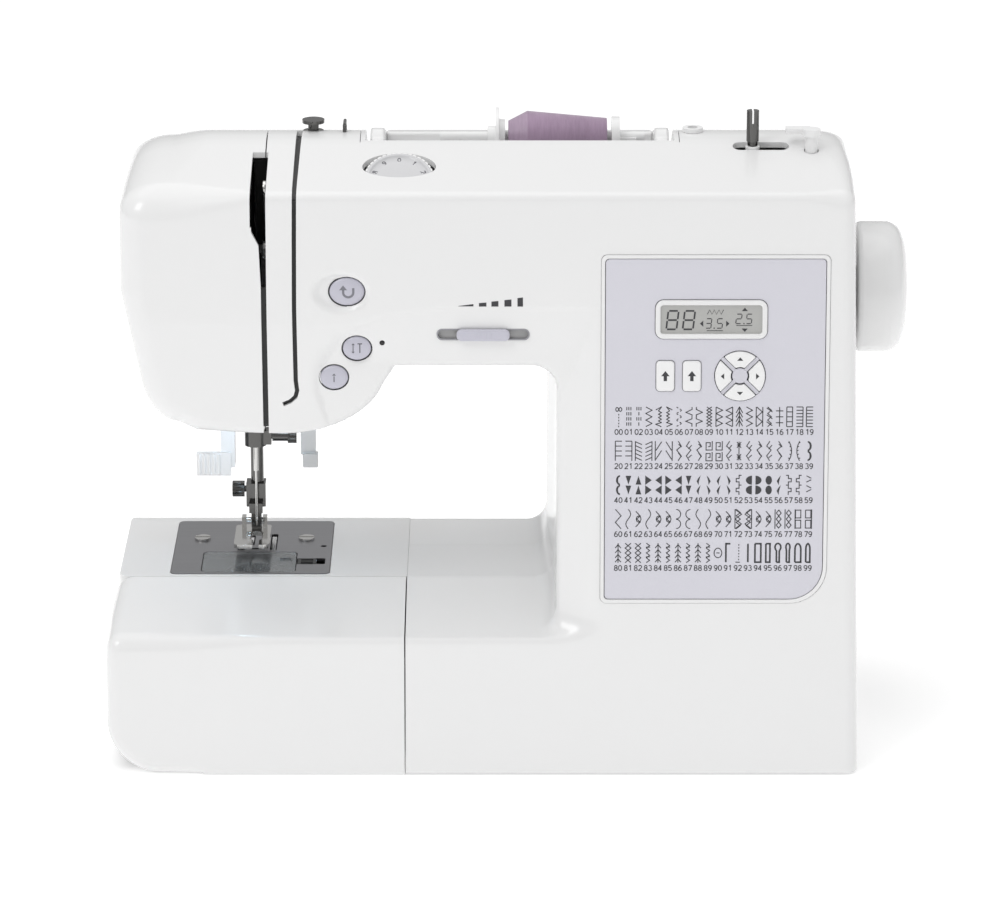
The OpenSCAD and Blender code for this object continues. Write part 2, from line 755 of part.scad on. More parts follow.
// Toothed pulley at x, around the axis at height z
module pulley(x, z, r) {
    translate([x, needle_y, z]) rotate([0, 90, 0]) {
        gear(r, 8, 20, 1, 7);
        cylinder(r = r + 1.6, h = 1);
        translate([0, 0, 7]) cylinder(r = r + 1.6, h = 1);
    }
}

// Lower shaft with the large gear that turns the hook
module lower_shaft() {
    color([0.66, 0.67, 0.7]) {
        xcyl(hook_x - 7, low_y, low_z, shaft_r, belt_x + 21 - hook_x + 7);
        translate([hook_x - 7, low_y, low_z]) rotate([0, 90, 0]) gear(low_gear, 14, 24);
        pulley(belt_x, low_z, pulley_r);
        xcyl(belt_x + 12, low_y, low_z, 20, 7);
    }
}

// Motor in the foot of the column
module motor() {
    color([0.35, 0.36, 0.38]) difference() {
        xcyl(belt_x - 64, motor_y, motor_z, 22, 60);
        xcyl(belt_x - 30, motor_y, motor_z, 2.6, 40);
    }
}

// Motor shaft with its pulley
module motor_shaft() {
    color([0.7, 0.7, 0.72]) {
        xcyl(belt_x - 25, motor_y, motor_z, 2.5, 45);
        xcyl(belt_x + 12, motor_y, motor_z, 7, 7);
    }
}

// Belt between the two shafts, and belt from the motor
module drive_belts() {
    color([0.1, 0.1, 0.1]) {
        yz(belt_x + 1.4, belt_x + 6.6) difference() {
            belt_outline([needle_y, low_z], pulley_r + 2, [needle_y, shaft_z], pulley_r + 2);
            belt_outline([needle_y, low_z], pulley_r + 0.5, [needle_y, shaft_z], pulley_r + 0.5);
        }
        yz(belt_x + 13, belt_x + 18) difference() {
            belt_outline([low_y, low_z], 22, [motor_y, motor_z], 9);
            belt_outline([low_y, low_z], 20.5, [motor_y, motor_z], 7.5);
        }
    }
}

// Outline around circles of radius a at p and radius b at q
module belt_outline(p, a, q, b) {
    hull() {
        translate(p) circle(a);
        translate(q) circle(b);
    }
}

// Main board behind the panel, and power board in the foot of the column
module circuit_boards() {
    color([0.1, 0.35, 0.2]) on_face(panel_x, panel_z) translate([0, 6, -12]) {
        translate([-48, -62, 0]) cube([96, 128, 1.6]);
        translate([-30, -40, -4]) cube([24, 24, 4.2]);
        translate([14, 8, -9]) cube([20, 14, 9.2]);
        translate([-40, 34, -8]) cylinder(r = 5, h = 8.2);
    }
    color([0.15, 0.4, 0.2]) {
        box([col_x + 46, back - 59, 15], [case_r - 20, back - 9, 16.6]);
        box([col_x + 54, back - 41, 16.5], [col_x + 84, back - 13, 42]);
        for (x = [col_x + 94, col_x + 108]) translate([x, back - 23, 16.5]) cylinder(r = 6, h = 20);
        for (x = [col_x + 50, case_r - 24], y = [back - 55, back - 13])
            translate([x, y, 7.6]) cylinder(r = 2.5, h = 7.5);
    }
}

// Plate in the right side with the power inlet, the foot control's jack and the switch's opening
module socket_panel() {
    color([0.2, 0.2, 0.21]) translate([sock_x, sock_y, sock_z]) difference() {
        union() {
            box([0, -34, -17], [3, 34, 17]);
            box([-1.6, -32, -15], [0.5, 32, 15]);
        }
        box([-5, -28 - key_gap, -8 - key_gap], [6, -16 + key_gap, 8 + key_gap]);
        box([-5, -6.4, -8.6], [6, 12.4, 8.6]);
        xcyl(-1, 23, 0, 1.9, 12);
    }
    color([0.2, 0.2, 0.21]) ycyl(sock_x, sock_y - 29, sock_z, 1.2, 14);
    color([0.1, 0.1, 0.1]) translate([sock_x, sock_y, sock_z]) difference() {
        union() {
            xcyl(-14, 23, 0, 5.4, 12.6);
            box([-15, -6.6, -8.8], [3.4, 12.6, 8.8]);
        }
        xcyl(-12, 23, 0, 1.9, 16);
        box([-12, -3.8, -5.4], [4, 9.8, 5.4]);
    }
    color([0.75, 0.75, 0.76]) for (y = [-1, 7]) xcyl(sock_x - 13, sock_y + y, sock_z, 1.1, 12);
}

// Rocker of the power switch
module power_rocker() {
    color([0.1, 0.1, 0.1]) translate([0, sock_y - 22, sock_z]) difference() {
        union() {
            yz(sock_x - 4, sock_x + 3.2) square([12, 15.2], center = true);
            yz(sock_x + 3.1, sock_x + 4.6) translate([0, 3.8]) square([12, 7.6], center = true);
        }
        ycyl(sock_x, -7, 0, 1.2 + run_gap, 14);
    }
}

// Needle bar with the stud for its connecting rod and the needle's clamp
module needle_bar() {
    color([0.75, 0.76, 0.78]) {
        translate([needle_x, needle_y, clamp_z - 1]) cylinder(r = bar_r, h = shaft_z + 57 - clamp_z);
        box([needle_x - 4.5, needle_y - 5, stud_z - 5], [needle_x + 4.5, needle_y + 5, stud_z + 5]);
        xcyl(needle_x + 4, needle_y, stud_z, 2.5, 8.4);
        difference() {
            union() {
                translate([needle_x, needle_y, clamp_z - 8]) cylinder(r = 5.4, h = 9);
                box([needle_x, needle_y - 3.6, clamp_z - 7], [needle_x + 8, needle_y + 3.6, clamp_z]);
            }
            xcyl(needle_x + 3.2, needle_y, clamp_z - 3.5, 1.6, 20);
            translate([needle_x, needle_y, clamp_z - 20]) cylinder(r = 1.2, h = 14.4);
        }
    }
}

// Rod from the needle bar's stud up to the crank
module connecting_rod() {
    color([0.6, 0.61, 0.63]) difference() {
        union() {
            xcyl(needle_x + 5, needle_y, stud_z, 5, 3.4);
            xcyl(needle_x + 9, needle_y, stud_z, 4.6, 3.4);
            xcyl(needle_x + 8, needle_y, stud_z, 5, 3.4);
            box([needle_x + 8, needle_y - 2.6, stud_z], [needle_x + 11.4, needle_y + 2.6, stud_z + rod_l]);
            xcyl(needle_x + 8, needle_y, stud_z + rod_l, 5, 3.4);
        }
        xcyl(needle_x + 4, needle_y, stud_z, 2.5 + run_gap, 10);
        xcyl(needle_x + 4, needle_y, stud_z + rod_l, 2.8, 10);
    }
}

// Screw that holds the needle in its clamp
module clamp_screw() {
    color([0.72, 0.73, 0.75]) {
        xcyl(needle_x + 3.4, needle_y, clamp_z - 3.5, 1.5, 14);
        xcyl(needle_x + 8.4, needle_y, clamp_z - 3.5, 2.6, 8);
        translate([needle_x + 16, needle_y, clamp_z - 3.5]) rotate([0, 90, 0]) difference() {
            cylinder(r = 3.6, h = 4.4);
            for (i = [0:11]) rotate([0, 0, i * 30]) translate([3.9, 0, -1]) cylinder(r = 0.6, h = 7);
        }
    }
}

// Needle with its shank, blade and eye
module needle() {
    color([0.85, 0.86, 0.88]) translate([needle_x, needle_y, needle_tip]) difference() {
        union() {
            translate([0, 0, 0.2]) cylinder(r1 = 0.15, r2 = 0.55, h = 3);
            translate([0, 0, 3.1]) cylinder(r = 0.55, h = 26);
            translate([0, 0, 29]) cylinder(r = 1.15, h = clamp_z - 29 - needle_tip - 6.1);
        }
        ycyl(0, -2, 5, 0.25, 4);
    }
}

// Threader that swings down beside the needle
module needle_threader() {
    color([0.9, 0.9, 0.9]) {
        box([needle_x - 17, needle_y - 6, clamp_z - 18], [needle_x - 10, needle_y + 2, clamp_z + 26]);
        box([needle_x - 29, needle_y - 7, clamp_z - 22], [needle_x - 12, needle_y - 5, clamp_z - 10]);
        for (i = [0:4]) box([needle_x - 28 + i * 2.4, needle_y - 7.8, clamp_z - 21],
            [needle_x - 27 + i * 2.4, needle_y - 6.8, clamp_z - 11]);
    }
}

// Lever pulled down for making buttonholes
module buttonhole_lever() {
    color([0.6, 0.6, 0.63]) {
        box([needle_x + 22.5, needle_y - 4, clamp_z - 12], [needle_x + 30, needle_y - 1.6, clamp_z + 30]);
        box([needle_x + 23.5, needle_y - 6.5, clamp_z - 18],
            [needle_x + 31, needle_y - 1.6, clamp_z - 11]);
    }
}

// Lever that draws the thread up through the slot
module take_up_lever() {
    color([0.78, 0.79, 0.81]) translate([slot_x - 0.8, take_y, take_z]) rotate([-50, 0, 0]) difference() {
        union() {
            xcyl(-2, 0, 0, 5, 3.6);
            box([0, -50, -2], [1.6, 0, 2]);
            xcyl(0, -51, 0, 3.6, 1.6);
        }
        xcyl(-5, 0, 0, 2 + run_gap, 12);
        xcyl(-5, -51, 0, 1.4, 12);
    }
}

// Presser bar with its lifting block
module presser_bar() {
    color([0.74, 0.75, 0.77]) {
        translate([needle_x, presser_y, holder_z + 2]) cylinder(r = bar_r, h = shaft_z + 58 - holder_z);
        box([needle_x - 5, presser_y - 4, arm_z - 12], [needle_x + 8, presser_y + 5, arm_z - 4]);
    }
}

// Ankle that clips onto the foot
module foot_holder() {
    color([0.76, 0.77, 0.79]) difference() {
        union() {
            box([needle_x - 5.4, presser_y - 4.6, holder_z],
                [needle_x + 4.2, presser_y + 4.6, holder_z + 12]);
            box([needle_x - 3, presser_y - 5.6, holder_z - 10.6],
                [needle_x + 2, presser_y + 1, holder_z + 1]);
            box([needle_x - 3.9, presser_y - 9, holder_z - 2],
                [needle_x + 2.8, presser_y - 4, holder_z + 3]);
        }
        translate([needle_x, presser_y, holder_z + 1.9]) cylinder(r = bar_r + 0.01, h = 20);
        xcyl(needle_x - 10, presser_y, holder_z + 8, 1.7, 8);
        xcyl(needle_x - 10, foot_pin_y, foot_pin_z, 1.5, 30);
    }
}

// Thumb screw that holds the ankle
module thumb_screw() {
    color([0.72, 0.73, 0.75]) {
        xcyl(needle_x - 7, presser_y, holder_z + 8, 1.6, 7 - bar_r - 0.4);
        translate([needle_x - 12.4, presser_y, holder_z + 8]) rotate([0, 90, 0]) difference() {
            cylinder(r = 4, h = 6);
            for (i = [0:11]) rotate([0, 0, i * 30]) translate([4.3, 0, -1]) cylinder(r = 0.6, h = 9);
        }
    }
}

// Presser foot: sole with a slot between its toes, and a cross pin
module presser_foot() {
    color([0.8, 0.81, 0.83]) translate([needle_x - 2, needle_y, foot_z]) difference() {
        union() {
            translate([0, -2, 0]) linear_extrude(2.2) slab(17.6, 32, 3);
            for (x = [-5.8, 4.6]) translate([x, foot_pin_y - needle_y - 2.4, 1])
                cube([2.2, 4.8, foot_pin_z - foot_z + 1]);
            xcyl(-5, foot_pin_y - needle_y, foot_pin_z - foot_z, 1.2, 11);
        }
        translate([2, -4, -1]) linear_extrude(5) slab(6, 13, 2.6);
        translate([0.4, -22, -1]) cube([3.2, 13, 5]);
    }
}

// Lever behind the head that lifts the foot
module lifter_lever() {
    color([0.25, 0.25, 0.27]) {
        box([needle_x + 5.5, lift_y + 2.4, arm_z - 22], [needle_x + 10.5, lift_y + 21, arm_z - 15]);
        box([needle_x + 5.5, lift_y + 16, arm_z - 46], [needle_x + 10.5, lift_y + 21.6, arm_z - 16]);
        box([needle_x + 4.6, lift_y + 15.4, arm_z - 52], [needle_x + 11.4, lift_y + 23, arm_z - 42]);
        difference() {
            xcyl(needle_x + 4.6, lift_y, arm_z - 18.5, 4, 6.8);
            xcyl(needle_x + 4, lift_y, arm_z - 18.5, 1.6 + run_gap, 9);
        }
    }
}

// Control panel with windows for the display and keys
module control_panel() {
    color([0.83, 0.8, 0.88]) on_face(panel_x, panel_z) translate([0, 0, 0.35 - panel_t]) difference() {
        linear_extrude(panel_t) panel_outline(-0.1);
        face_at(lcd_x, lcd_z) linear_extrude(9) slab(lcd_w - 3, lcd_h - 3, 1);
        for (x = [-6.3, 6.3]) face_at(key_x + x, key_z)
            linear_extrude(9) slab(9.6 + 2 * key_gap, 14 + 2 * key_gap, 1);
        face_at(ring_x, key_z) difference() {
            cylinder(r = ring_r + key_gap, h = 9);
            translate([0, 0, -1]) cylinder(r = 4.4, h = 12);
        }
    }
}

// Moves children from the panel's middle to a point on the face
module face_at(x, z) {
    translate([x - panel_x, (z - panel_z) / cos(lean), -4]) children();
}

// Display with the frame around it
module display() {
    color([0.8, 0.82, 0.82]) on_face(lcd_x, lcd_z) {
        translate([0, 0, -3]) linear_extrude(3.9) slab(lcd_w - 4.6, lcd_h - 4.6, 0.4);
        translate([0, 0, -3.6]) linear_extrude(1.8) slab(lcd_w - 2, lcd_h - 2, 0.4);
        difference() {
            translate([0, 0, 0.4]) linear_extrude(1.1) slab(lcd_w, lcd_h, 1.6);
            linear_extrude(4) slab(lcd_w - 5, lcd_h - 5, 0.4);
        }
    }
}

// Blank key at x, with its plunger
module key(x) {
    color([0.84, 0.82, 0.89]) on_face(x, key_z) {
        translate([0, 0, -1.4]) linear_extrude(2.8) slab(9.6, 14, 1);
        translate([0, 0, -4.6]) cylinder(r = 2.4, h = 3.4);
    }
}

// Left stitch key
module key_left() {
    key(key_x - 6.3);
}

// Right stitch key
module key_right() {
    key(key_x + 6.3);
}

// One of the four arrow keys, turned by a
module arrow_key(a) {
    color([0.84, 0.82, 0.89]) on_face(ring_x, key_z) rotate([0, 0, a]) {
        translate([0, 0, -1.4]) linear_extrude(2.8) difference() {
            intersection() {
                circle(ring_r);
                polygon([[1.9, 0.3], [15, 13.4], [15, -13.4], [1.9, -0.3]]);
            }
            circle(4.4 + key_gap);
        }
        translate([ring_r - 4, 0, -4.6]) cylinder(r = 1.8, h = 3.4);
    }
}

// Right arrow key
module key_next() {
    arrow_key(0);
}

// Upper arrow key
module key_up() {
    arrow_key(90);
}

// Left arrow key
module key_back() {
    arrow_key(180);
}

// Lower arrow key
module key_down() {
    arrow_key(270);
}

// Oval button at p, of the given size, with a flange behind the cover
module oval_button(p, size) {
    color([0.82, 0.8, 0.87]) on_face(p[0], p[1]) {
        translate([0, 0, -4.6]) linear_extrude(6.2) oval(size[0], size[1], 0);
        translate([0, 0, -7]) linear_extrude(2.4) oval(size[0], size[1], 1.4);
    }
}

// Button that sews backwards
module reverse_button() {
    oval_button(reverse_at, reverse_size);
}

// Button that moves the needle up or down
module needle_button() {
    oval_button(needle_at, needle_size);
}

// Button that starts and stops the motor
module start_button() {
    oval_button(start_at, start_size);
}

// Knob that sets the sewing speed
module speed_knob() {
    color([0.82, 0.8, 0.87]) on_face(speed_at[0], speed_at[1]) {
        translate([0, 0, 0.4]) linear_extrude(2.6) slab(knob_w, 5, 1.6);
        translate([0, 0, -5]) linear_extrude(5.5) slab(slot_w - 14 - 20, 2.4, 1);
        translate([0, 0, -5.6]) linear_extrude(2) slab(16, 8, 1);
    }
}

// Tub in the top, with the spool pin and the two pins that the handle turns on
module spool_tub() {
    color([0.94, 0.94, 0.94]) difference() {
        intersection() {
            upper(0);
            box([tub_x0, tub_y0, tub_z - 2.6], [tub_x1, arm_back + 6.4, top_z + 1]);
        }
        box([tub_x0 + 2.2, tub_y0 + 2.2, tub_z], [tub_x1 - 2.2, arm_back - 2.4, top_z + 9]);
        box([tub_x0 + 2.2, arm_back - 8.6, tub_z + 9], [tub_x1 - 2.2, arm_back + 11.4, top_z]);
    }
    color([0.9, 0.9, 0.9]) {
        for (x = [tub_x0 + 1, tub_x1 - 13]) xcyl(x, handle_y, handle_z, 2, 12);
        xcyl(spool_x - 33, spool_y, spool_z, pin_r, spool_l + 51);
        xcyl(spool_x + spool_l + 2, spool_y, spool_z, 9.6, 4);
        box([spool_x + spool_l + 6, spool_y - 4, tub_z - 0.01],
            [spool_x + spool_l + 14, spool_y + 4, spool_z]);
    }
}

// Carry handle, folded back into the tub
module handle() {
    w = handle_w / 2;
    hx = (tub_x0 + tub_x1) / 2;
    color([0.93, 0.93, 0.93]) translate([hx, 0, 0]) {
        for (x = [-w + 2.6, w - 12.6]) difference() {
            union() {
                box([x, handle_y, handle_z - 4], [x + 10, handle_yb, handle_z + 4]);
                xcyl(x, handle_y, handle_z, 4, 10);
            }
            xcyl(x - 1, handle_y, handle_z, 2 + run_gap, 12);
        }
        difference() {
            yz(-w + 2.6, w - 2.6) polygon(concat([[handle_yb - 2, handle_z - 4]],
                [[handle_yb + 9, handle_z - 4]], arc([handle_yb + 7, handle_z + 6], 6, 5, 0, 90, 4),
                arc([handle_yb + 3, handle_z + 5], 5, 6, 90, 180, 4)));
            xz(handle_yb - 10, handle_yb + 20) polygon([[-w - 1, handle_z + 9], [-w - 1, handle_z + 20],
                [-30, handle_z + 20], [-30, handle_z + 11.2]]);
        }
    }
}

// Spool wound with thread
module thread_spool() {
    color([0.62, 0.45, 0.58]) translate([spool_x, spool_y, spool_z]) rotate([0, 90, 0]) rotate_extrude()
        polygon([[pin_r + 0.3, 0], [spool_r * 0.62, 0], [spool_r, 9], [spool_r * 0.72, spool_l],
            [pin_r + 0.3, spool_l]]);
}

// Cap that keeps the spool on its pin
module spool_cap() {
    color([0.92, 0.92, 0.92]) translate([spool_x - 6, spool_y, spool_z]) rotate([0, 90, 0]) difference() {
        union() {
            cylinder(r = spool_r + 1.6, h = 1.6);
            translate([0, 0, 1.5]) cylinder(r = spool_r - 4, h = 3);
            translate([0, 0, -4]) cylinder(r = 5, h = 5);
        }
        translate([0, 0, -5]) cylinder(r = pin_r + run_gap, h = 15);
    }
}

// Stud with its arm, on the slide that winds bobbins
module winder_slide() {
    color([0.88, 0.88, 0.88]) translate([winder_x, winder_y, top_z - 14]) difference() {
        union() {
            cylinder(r = 3.4, h = 12);
            translate([-8, -7, -3]) cube([18, 14, 3.4]);
        }
        translate([0, 0, -5]) cylinder(r = 1.4 + run_gap, h = 25);
    }
}

// Spindle that turns the bobbin being wound
module winder_spindle() {
    color([0.93, 0.93, 0.93]) translate([winder_x, winder_y, 0]) {
        difference() {
            translate([0, 0, top_z + 0.4]) cylinder(r = winder_r, h = 15);
            translate([-0.4, -5, top_z + 8]) cube([0.8, 10, 20]);
        }
        translate([0, 0, top_z - 1.6]) cylinder(r = winder_r - 0.5, h = 2.5);
        translate([0, 0, top_z - 22]) cylinder(r = 1.4, h = 21);
        translate([0, 0, top_z - 24]) cylinder(r = 9, h = 4);
    }
}

// Lever that stops the winding when the bobbin is full
module winder_stop() {
    color([0.9, 0.9, 0.9]) translate([stop_x, stop_y, 0]) {
        translate([0, 0, top_z - 16]) cylinder(r = 3, h = 21);
        translate([0, 0, top_z - 18]) cylinder(r = 6, h = 3);
        translate([0, 0, top_z + 4]) cylinder(r = 4.3, h = 3.4);
        translate([-12, 4, top_z + 4]) cube([12, 7, 2]);
        translate([-3.4, 0, top_z + 4]) cube([6, 8, 2]);
    }
}

// Socket for a second spool pin, with its rim
module second_pin_socket() {
    color([0.9, 0.9, 0.9]) translate([aux_x, aux_y, aux_z]) difference() {
        union() {
            translate([0, 0, -14]) cylinder(r = 4, h = 15);
            cylinder(r = 5, h = 2);
        }
        translate([0, 0, -12]) cylinder(r = 2.5, h = 20);
    }
}

// Dial for the thread tension
module tension_dial() {
    color([0.9, 0.9, 0.9]) dial_place() difference() {
        union() {
            translate([0, 0, -5]) cylinder(r = dial_r - 0.8, h = 5);
            translate([0, 0, -9]) cylinder(r = 6, h = 5);
        }
        for (i = [0:35]) rotate([0, 0, i * 10]) translate([dial_r - 0.4, 0, -6])
            cylinder(r = 0.9, h = 8, $fn = 16);
        translate([0, 0, -10]) cylinder(r = 2 + run_gap, h = 8);
    }
}

// Guides for the thread on top of the head
module thread_guides() {
    color([0.45, 0.46, 0.48]) {
        translate([needle_x + 30.8, needle_y - 9, top_z - 1.6]) cylinder(r = 5, h = 1.2);
        translate([needle_x + 30.8, needle_y - 9, top_z - 4]) cylinder(r = 2.6, h = 8);
        translate([needle_x + 30.8, needle_y - 9, top_z + 3.4]) cylinder(r = 5.4, h = 1.6);
        for (y = [-14, -6]) translate([needle_x + 46, needle_y + y, top_z - 5]) cylinder(r = 0.9, h = 8.4);
        ycyl(needle_x + 46, needle_y - 14.9, top_z + 3.4, 0.9, 9.8);
    }
}

// Which piece to show

front_cover();
rear_cover();
face_cover();
base_plate();
rubber_feet();
cast_frame();
bushes();
free_arm_shell();
needle_plate();
plate_screws();
bobbin_cover();
cover_latch();
bobbin_case();
bobbin();
rotary_hook();
feed_dog();
accessory_tray();
handwheel();
upper_shaft();
lower_shaft();
drive_belts();
motor();
motor_shaft();
circuit_boards();
socket_panel();
power_rocker();
needle_bar();
connecting_rod();
clamp_screw();
needle();
needle_threader();
buttonhole_lever();
take_up_lever();
presser_bar();
foot_holder();
thumb_screw();
presser_foot();
lifter_lever();
control_panel();
display();
key_left();
key_right();
key_next();
key_up();
key_back();
key_down();
reverse_button();
needle_button();
start_button();
speed_knob();
spool_tub();
handle();
thread_spool();
spool_cap();
winder_slide();
winder_spindle();
winder_stop();
second_pin_socket();
tension_dial();
thread_guides();
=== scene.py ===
"""Looks of a free-arm computerised sewing machine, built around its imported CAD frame.

Lengths are written in millimetres and turned into metres when a mesh is made.
"""

import math

import bmesh
import bpy
import numpy as np
from mathutils import Matrix, Vector


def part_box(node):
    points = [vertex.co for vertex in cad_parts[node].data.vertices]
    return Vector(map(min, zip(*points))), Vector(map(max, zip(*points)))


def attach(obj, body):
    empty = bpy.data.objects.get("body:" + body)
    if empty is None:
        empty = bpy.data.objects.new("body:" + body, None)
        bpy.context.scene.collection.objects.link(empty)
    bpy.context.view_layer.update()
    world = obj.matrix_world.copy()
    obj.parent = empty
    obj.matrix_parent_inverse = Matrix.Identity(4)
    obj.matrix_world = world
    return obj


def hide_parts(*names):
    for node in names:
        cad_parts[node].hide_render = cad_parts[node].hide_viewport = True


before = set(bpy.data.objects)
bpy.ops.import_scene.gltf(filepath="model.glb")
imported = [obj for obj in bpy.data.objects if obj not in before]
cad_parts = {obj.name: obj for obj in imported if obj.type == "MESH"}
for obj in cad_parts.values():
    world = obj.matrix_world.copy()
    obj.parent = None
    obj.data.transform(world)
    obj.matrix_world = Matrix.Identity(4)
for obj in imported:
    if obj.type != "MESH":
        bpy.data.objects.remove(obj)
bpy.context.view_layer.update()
MM = 0.001

# ---------------------------------------------------------------- sizes, in mm
LEAN = math.radians(5)
FRONT, ARM_BACK, COLUMN_BACK, BED_BACK = -89.0, 48.6, 89.0, 75.0
LEFT, CASE_R = -194.0, 164.0
TOP, DECK, ARM_Z, HEAD_Z, CREST = 298.0, 80.0, 200.0, 167.0, 284.0
COL_X, HEAD_L, HEAD_R, SEAM_X, ARM_Y0 = 23.0, -184.5, -58.0, -49.0, -26.0
NEEDLE_X, NEEDLE_Y = (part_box("needle")[0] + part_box("needle")[1]).xy / 2 / MM
SLOT_X = -116.0
SPLIT_Y, SEAM, WALL = 22.0, 0.6, 2.6
TUB = (-71.0, 82.0, -14.0, 274.0)
DIAL = (-52.0, -38.0)
WINDER, STOP, AUX = (117.0, -18.0), (145.0, -22.0), (89.0, 2.0)
PANEL = (98.25, 170.67, 108.5, 170.0)
KEYS = ((74.55, 197.05), (87.15, 197.05))
RING = (110.05, 197.05)
REVERSE, NEEDLE_B, START, LED = (-76.5, 237.4), (-72.0, 209.9), (-83.0, 195.5), (-60.0, 212.5)
SPEED = (-12.0, 216.8)
SHAFT_Z = 214.5


def fy(z):
    """Depth of the leaning front face at height z."""
    return FRONT + z * math.tan(LEAN)


# ---------------------------------------------------------------- camera, lights, floor
scene = bpy.context.scene
scene.view_settings.view_transform = "Standard"
ELEVATION = math.radians(18)
AIM = Vector((-0.004, 0.0, 0.132))
BACK = Vector((0.0, -math.cos(ELEVATION), math.sin(ELEVATION)))
camera = bpy.data.objects.new("camera", bpy.data.cameras.new("camera"))
camera.data.lens = 182.7
camera.data.sensor_width = 36.0
camera.location = AIM + BACK * 2.5
camera.rotation_mode = "QUATERNION"
camera.rotation_quaternion = BACK.to_track_quat("Z", "Y")
scene.collection.objects.link(camera)
scene.camera = camera


def softbox(name, place, power, size, colour=(1, 1, 1)):
    """A square area light that looks at the object's middle."""
    light = bpy.data.lights.new(name, "AREA")
    light.energy, light.size, light.color = power, size, colour
    lamp = bpy.data.objects.new(name, light)
    lamp.location = place
    lamp.rotation_mode = "QUATERNION"
    lamp.rotation_quaternion = (Vector(place) - Vector((0, 0, 0.15))).to_track_quat("Z", "Y")
    scene.collection.objects.link(lamp)


softbox("top_light", (-0.2, 0.2, 2.0), 8, 1.8)
softbox("front_light", (-1.5, -1.7, 2.4), 17, 1.1)
softbox("right_light", (1.9, -0.9, 0.8), 1.0, 1.0)
world = bpy.data.worlds.new("world")
world.use_nodes = True
world.node_tree.nodes["Background"].inputs["Color"].default_value = (1, 1, 1, 1)
sky = world.node_tree
sky_way = sky.nodes.new("ShaderNodeTexCoord")
sky_parts = sky.nodes.new("ShaderNodeSeparateXYZ")
sky_level = sky.nodes.new("ShaderNodeMapRange")
sky_level.inputs["From Min"].default_value, sky_level.inputs["From Max"].default_value = -0.1, 0.9
sky_level.inputs["To Min"].default_value, sky_level.inputs["To Max"].default_value = 0.28, 0.85
sky.links.new(sky_way.outputs["Generated"], sky_parts.inputs["Vector"])
sky.links.new(sky_parts.outputs["Z"], sky_level.inputs["Value"])
sky.links.new(sky_level.outputs["Result"], sky.nodes["Background"].inputs["Strength"])
scene.world = world


# ---------------------------------------------------------------- materials
def rgb(level, tint=(1, 1, 1)):
    """A linear colour from a screen level of 0 to 255."""
    return tuple((level / 255.0 * t) ** 2.2 for t in tint) + (1.0,)


def finish_of(name, colour, rough, metal=0.0, tint=0.035, grain=1400.0, bump=0.04, stretch=(1, 1, 1),
              **sockets):
    """A procedural material: broad colour drift, fine speckle, and grain in the bump and the roughness."""
    mat = bpy.data.materials.new(name)
    mat.use_nodes = True
    tree = mat.node_tree
    shader = tree.nodes["Principled BSDF"]
    shader.inputs["Metallic"].default_value = metal
    for key, value in sockets.items():
        shader.inputs[key.replace("_", " ")].default_value = value
    place = tree.nodes.new("ShaderNodeTexCoord")
    scaled = tree.nodes.new("ShaderNodeMapping")
    scaled.inputs["Scale"].default_value = stretch
    tree.links.new(place.outputs["Object"], scaled.inputs["Vector"])

    def noise(scale, detail):
        made = tree.nodes.new("ShaderNodeTexNoise")
        made.inputs["Scale"].default_value = scale
        made.inputs["Detail"].default_value = detail
        tree.links.new(scaled.outputs["Vector"], made.inputs["Vector"])
        return made.outputs["Fac"]

    drift = tree.nodes.new("ShaderNodeMix")
    drift.data_type = "RGBA"
    drift.inputs["A"].default_value = tuple(c * (1 - tint) for c in colour[:3]) + (1,)
    drift.inputs["B"].default_value = tuple(min(1, c * (1 + tint)) for c in colour[:3]) + (1,)
    blend = tree.nodes.new("ShaderNodeMath")
    blend.operation = "MULTIPLY_ADD"
    blend.inputs[1].default_value = 0.35
    tree.links.new(noise(grain * 0.4, 2.0), blend.inputs[0])
    broad = tree.nodes.new("ShaderNodeMath")
    broad.operation = "MULTIPLY"
    broad.inputs[1].default_value = 0.65
    tree.links.new(noise(14.0, 3.0), broad.inputs[0])
    tree.links.new(broad.outputs[0], blend.inputs[2])
    tree.links.new(blend.outputs[0], drift.inputs["Factor"])
    tree.links.new(drift.outputs["Result"], shader.inputs["Base Color"])
    fine = noise(grain, 2.0)
    spread = tree.nodes.new("ShaderNodeMapRange")
    spread.inputs["To Min"].default_value = rough * 0.85
    spread.inputs["To Max"].default_value = min(1.0, rough * 1.2)
    tree.links.new(fine, spread.inputs["Value"])
    tree.links.new(spread.outputs["Result"], shader.inputs["Roughness"])
    lumps = tree.nodes.new("ShaderNodeBump")
    lumps.inputs["Strength"].default_value = bump
    lumps.inputs["Distance"].default_value = 0.0002
    tree.links.new(fine, lumps.inputs["Height"])
    tree.links.new(lumps.outputs["Normal"], shader.inputs["Normal"])
    return mat


WHITE = finish_of("gloss_white", rgb(236), 0.24, Coat_Weight=0.35, Coat_Roughness=0.06, tint=0.012,
                  bump=0.012)
LILAC = finish_of("panel_lilac", rgb(214, (1.0, 0.996, 1.035)), 0.42, bump=0.12, grain=2600.0)
BUTTON = finish_of("button_lilac", rgb(196, (1.0, 0.995, 1.055)), 0.3, Coat_Weight=0.2, Coat_Roughness=0.2)
KEY_WHITE = finish_of("key_white", rgb(242), 0.34, bump=0.06)
INK = finish_of("print_grey", rgb(104, (1.0, 1.0, 1.06)), 0.5, tint=0.1)
# dark print; the same dark also fills the gaps round the oval buttons as painted shade
INK_DARK_AND_GAP_SHADE = finish_of("print_dark_and_gap_shade", rgb(62, (1.0, 1.0, 1.05)), 0.5, tint=0.1)
CHROME = finish_of("chrome", rgb(206, (1.0, 0.995, 0.985)), 0.12, 1.0, bump=0.03, stretch=(1, 1, 0.15))
STEEL = finish_of("ground_steel", rgb(176), 0.28, 1.0, bump=0.1, stretch=(0.1, 1, 1))
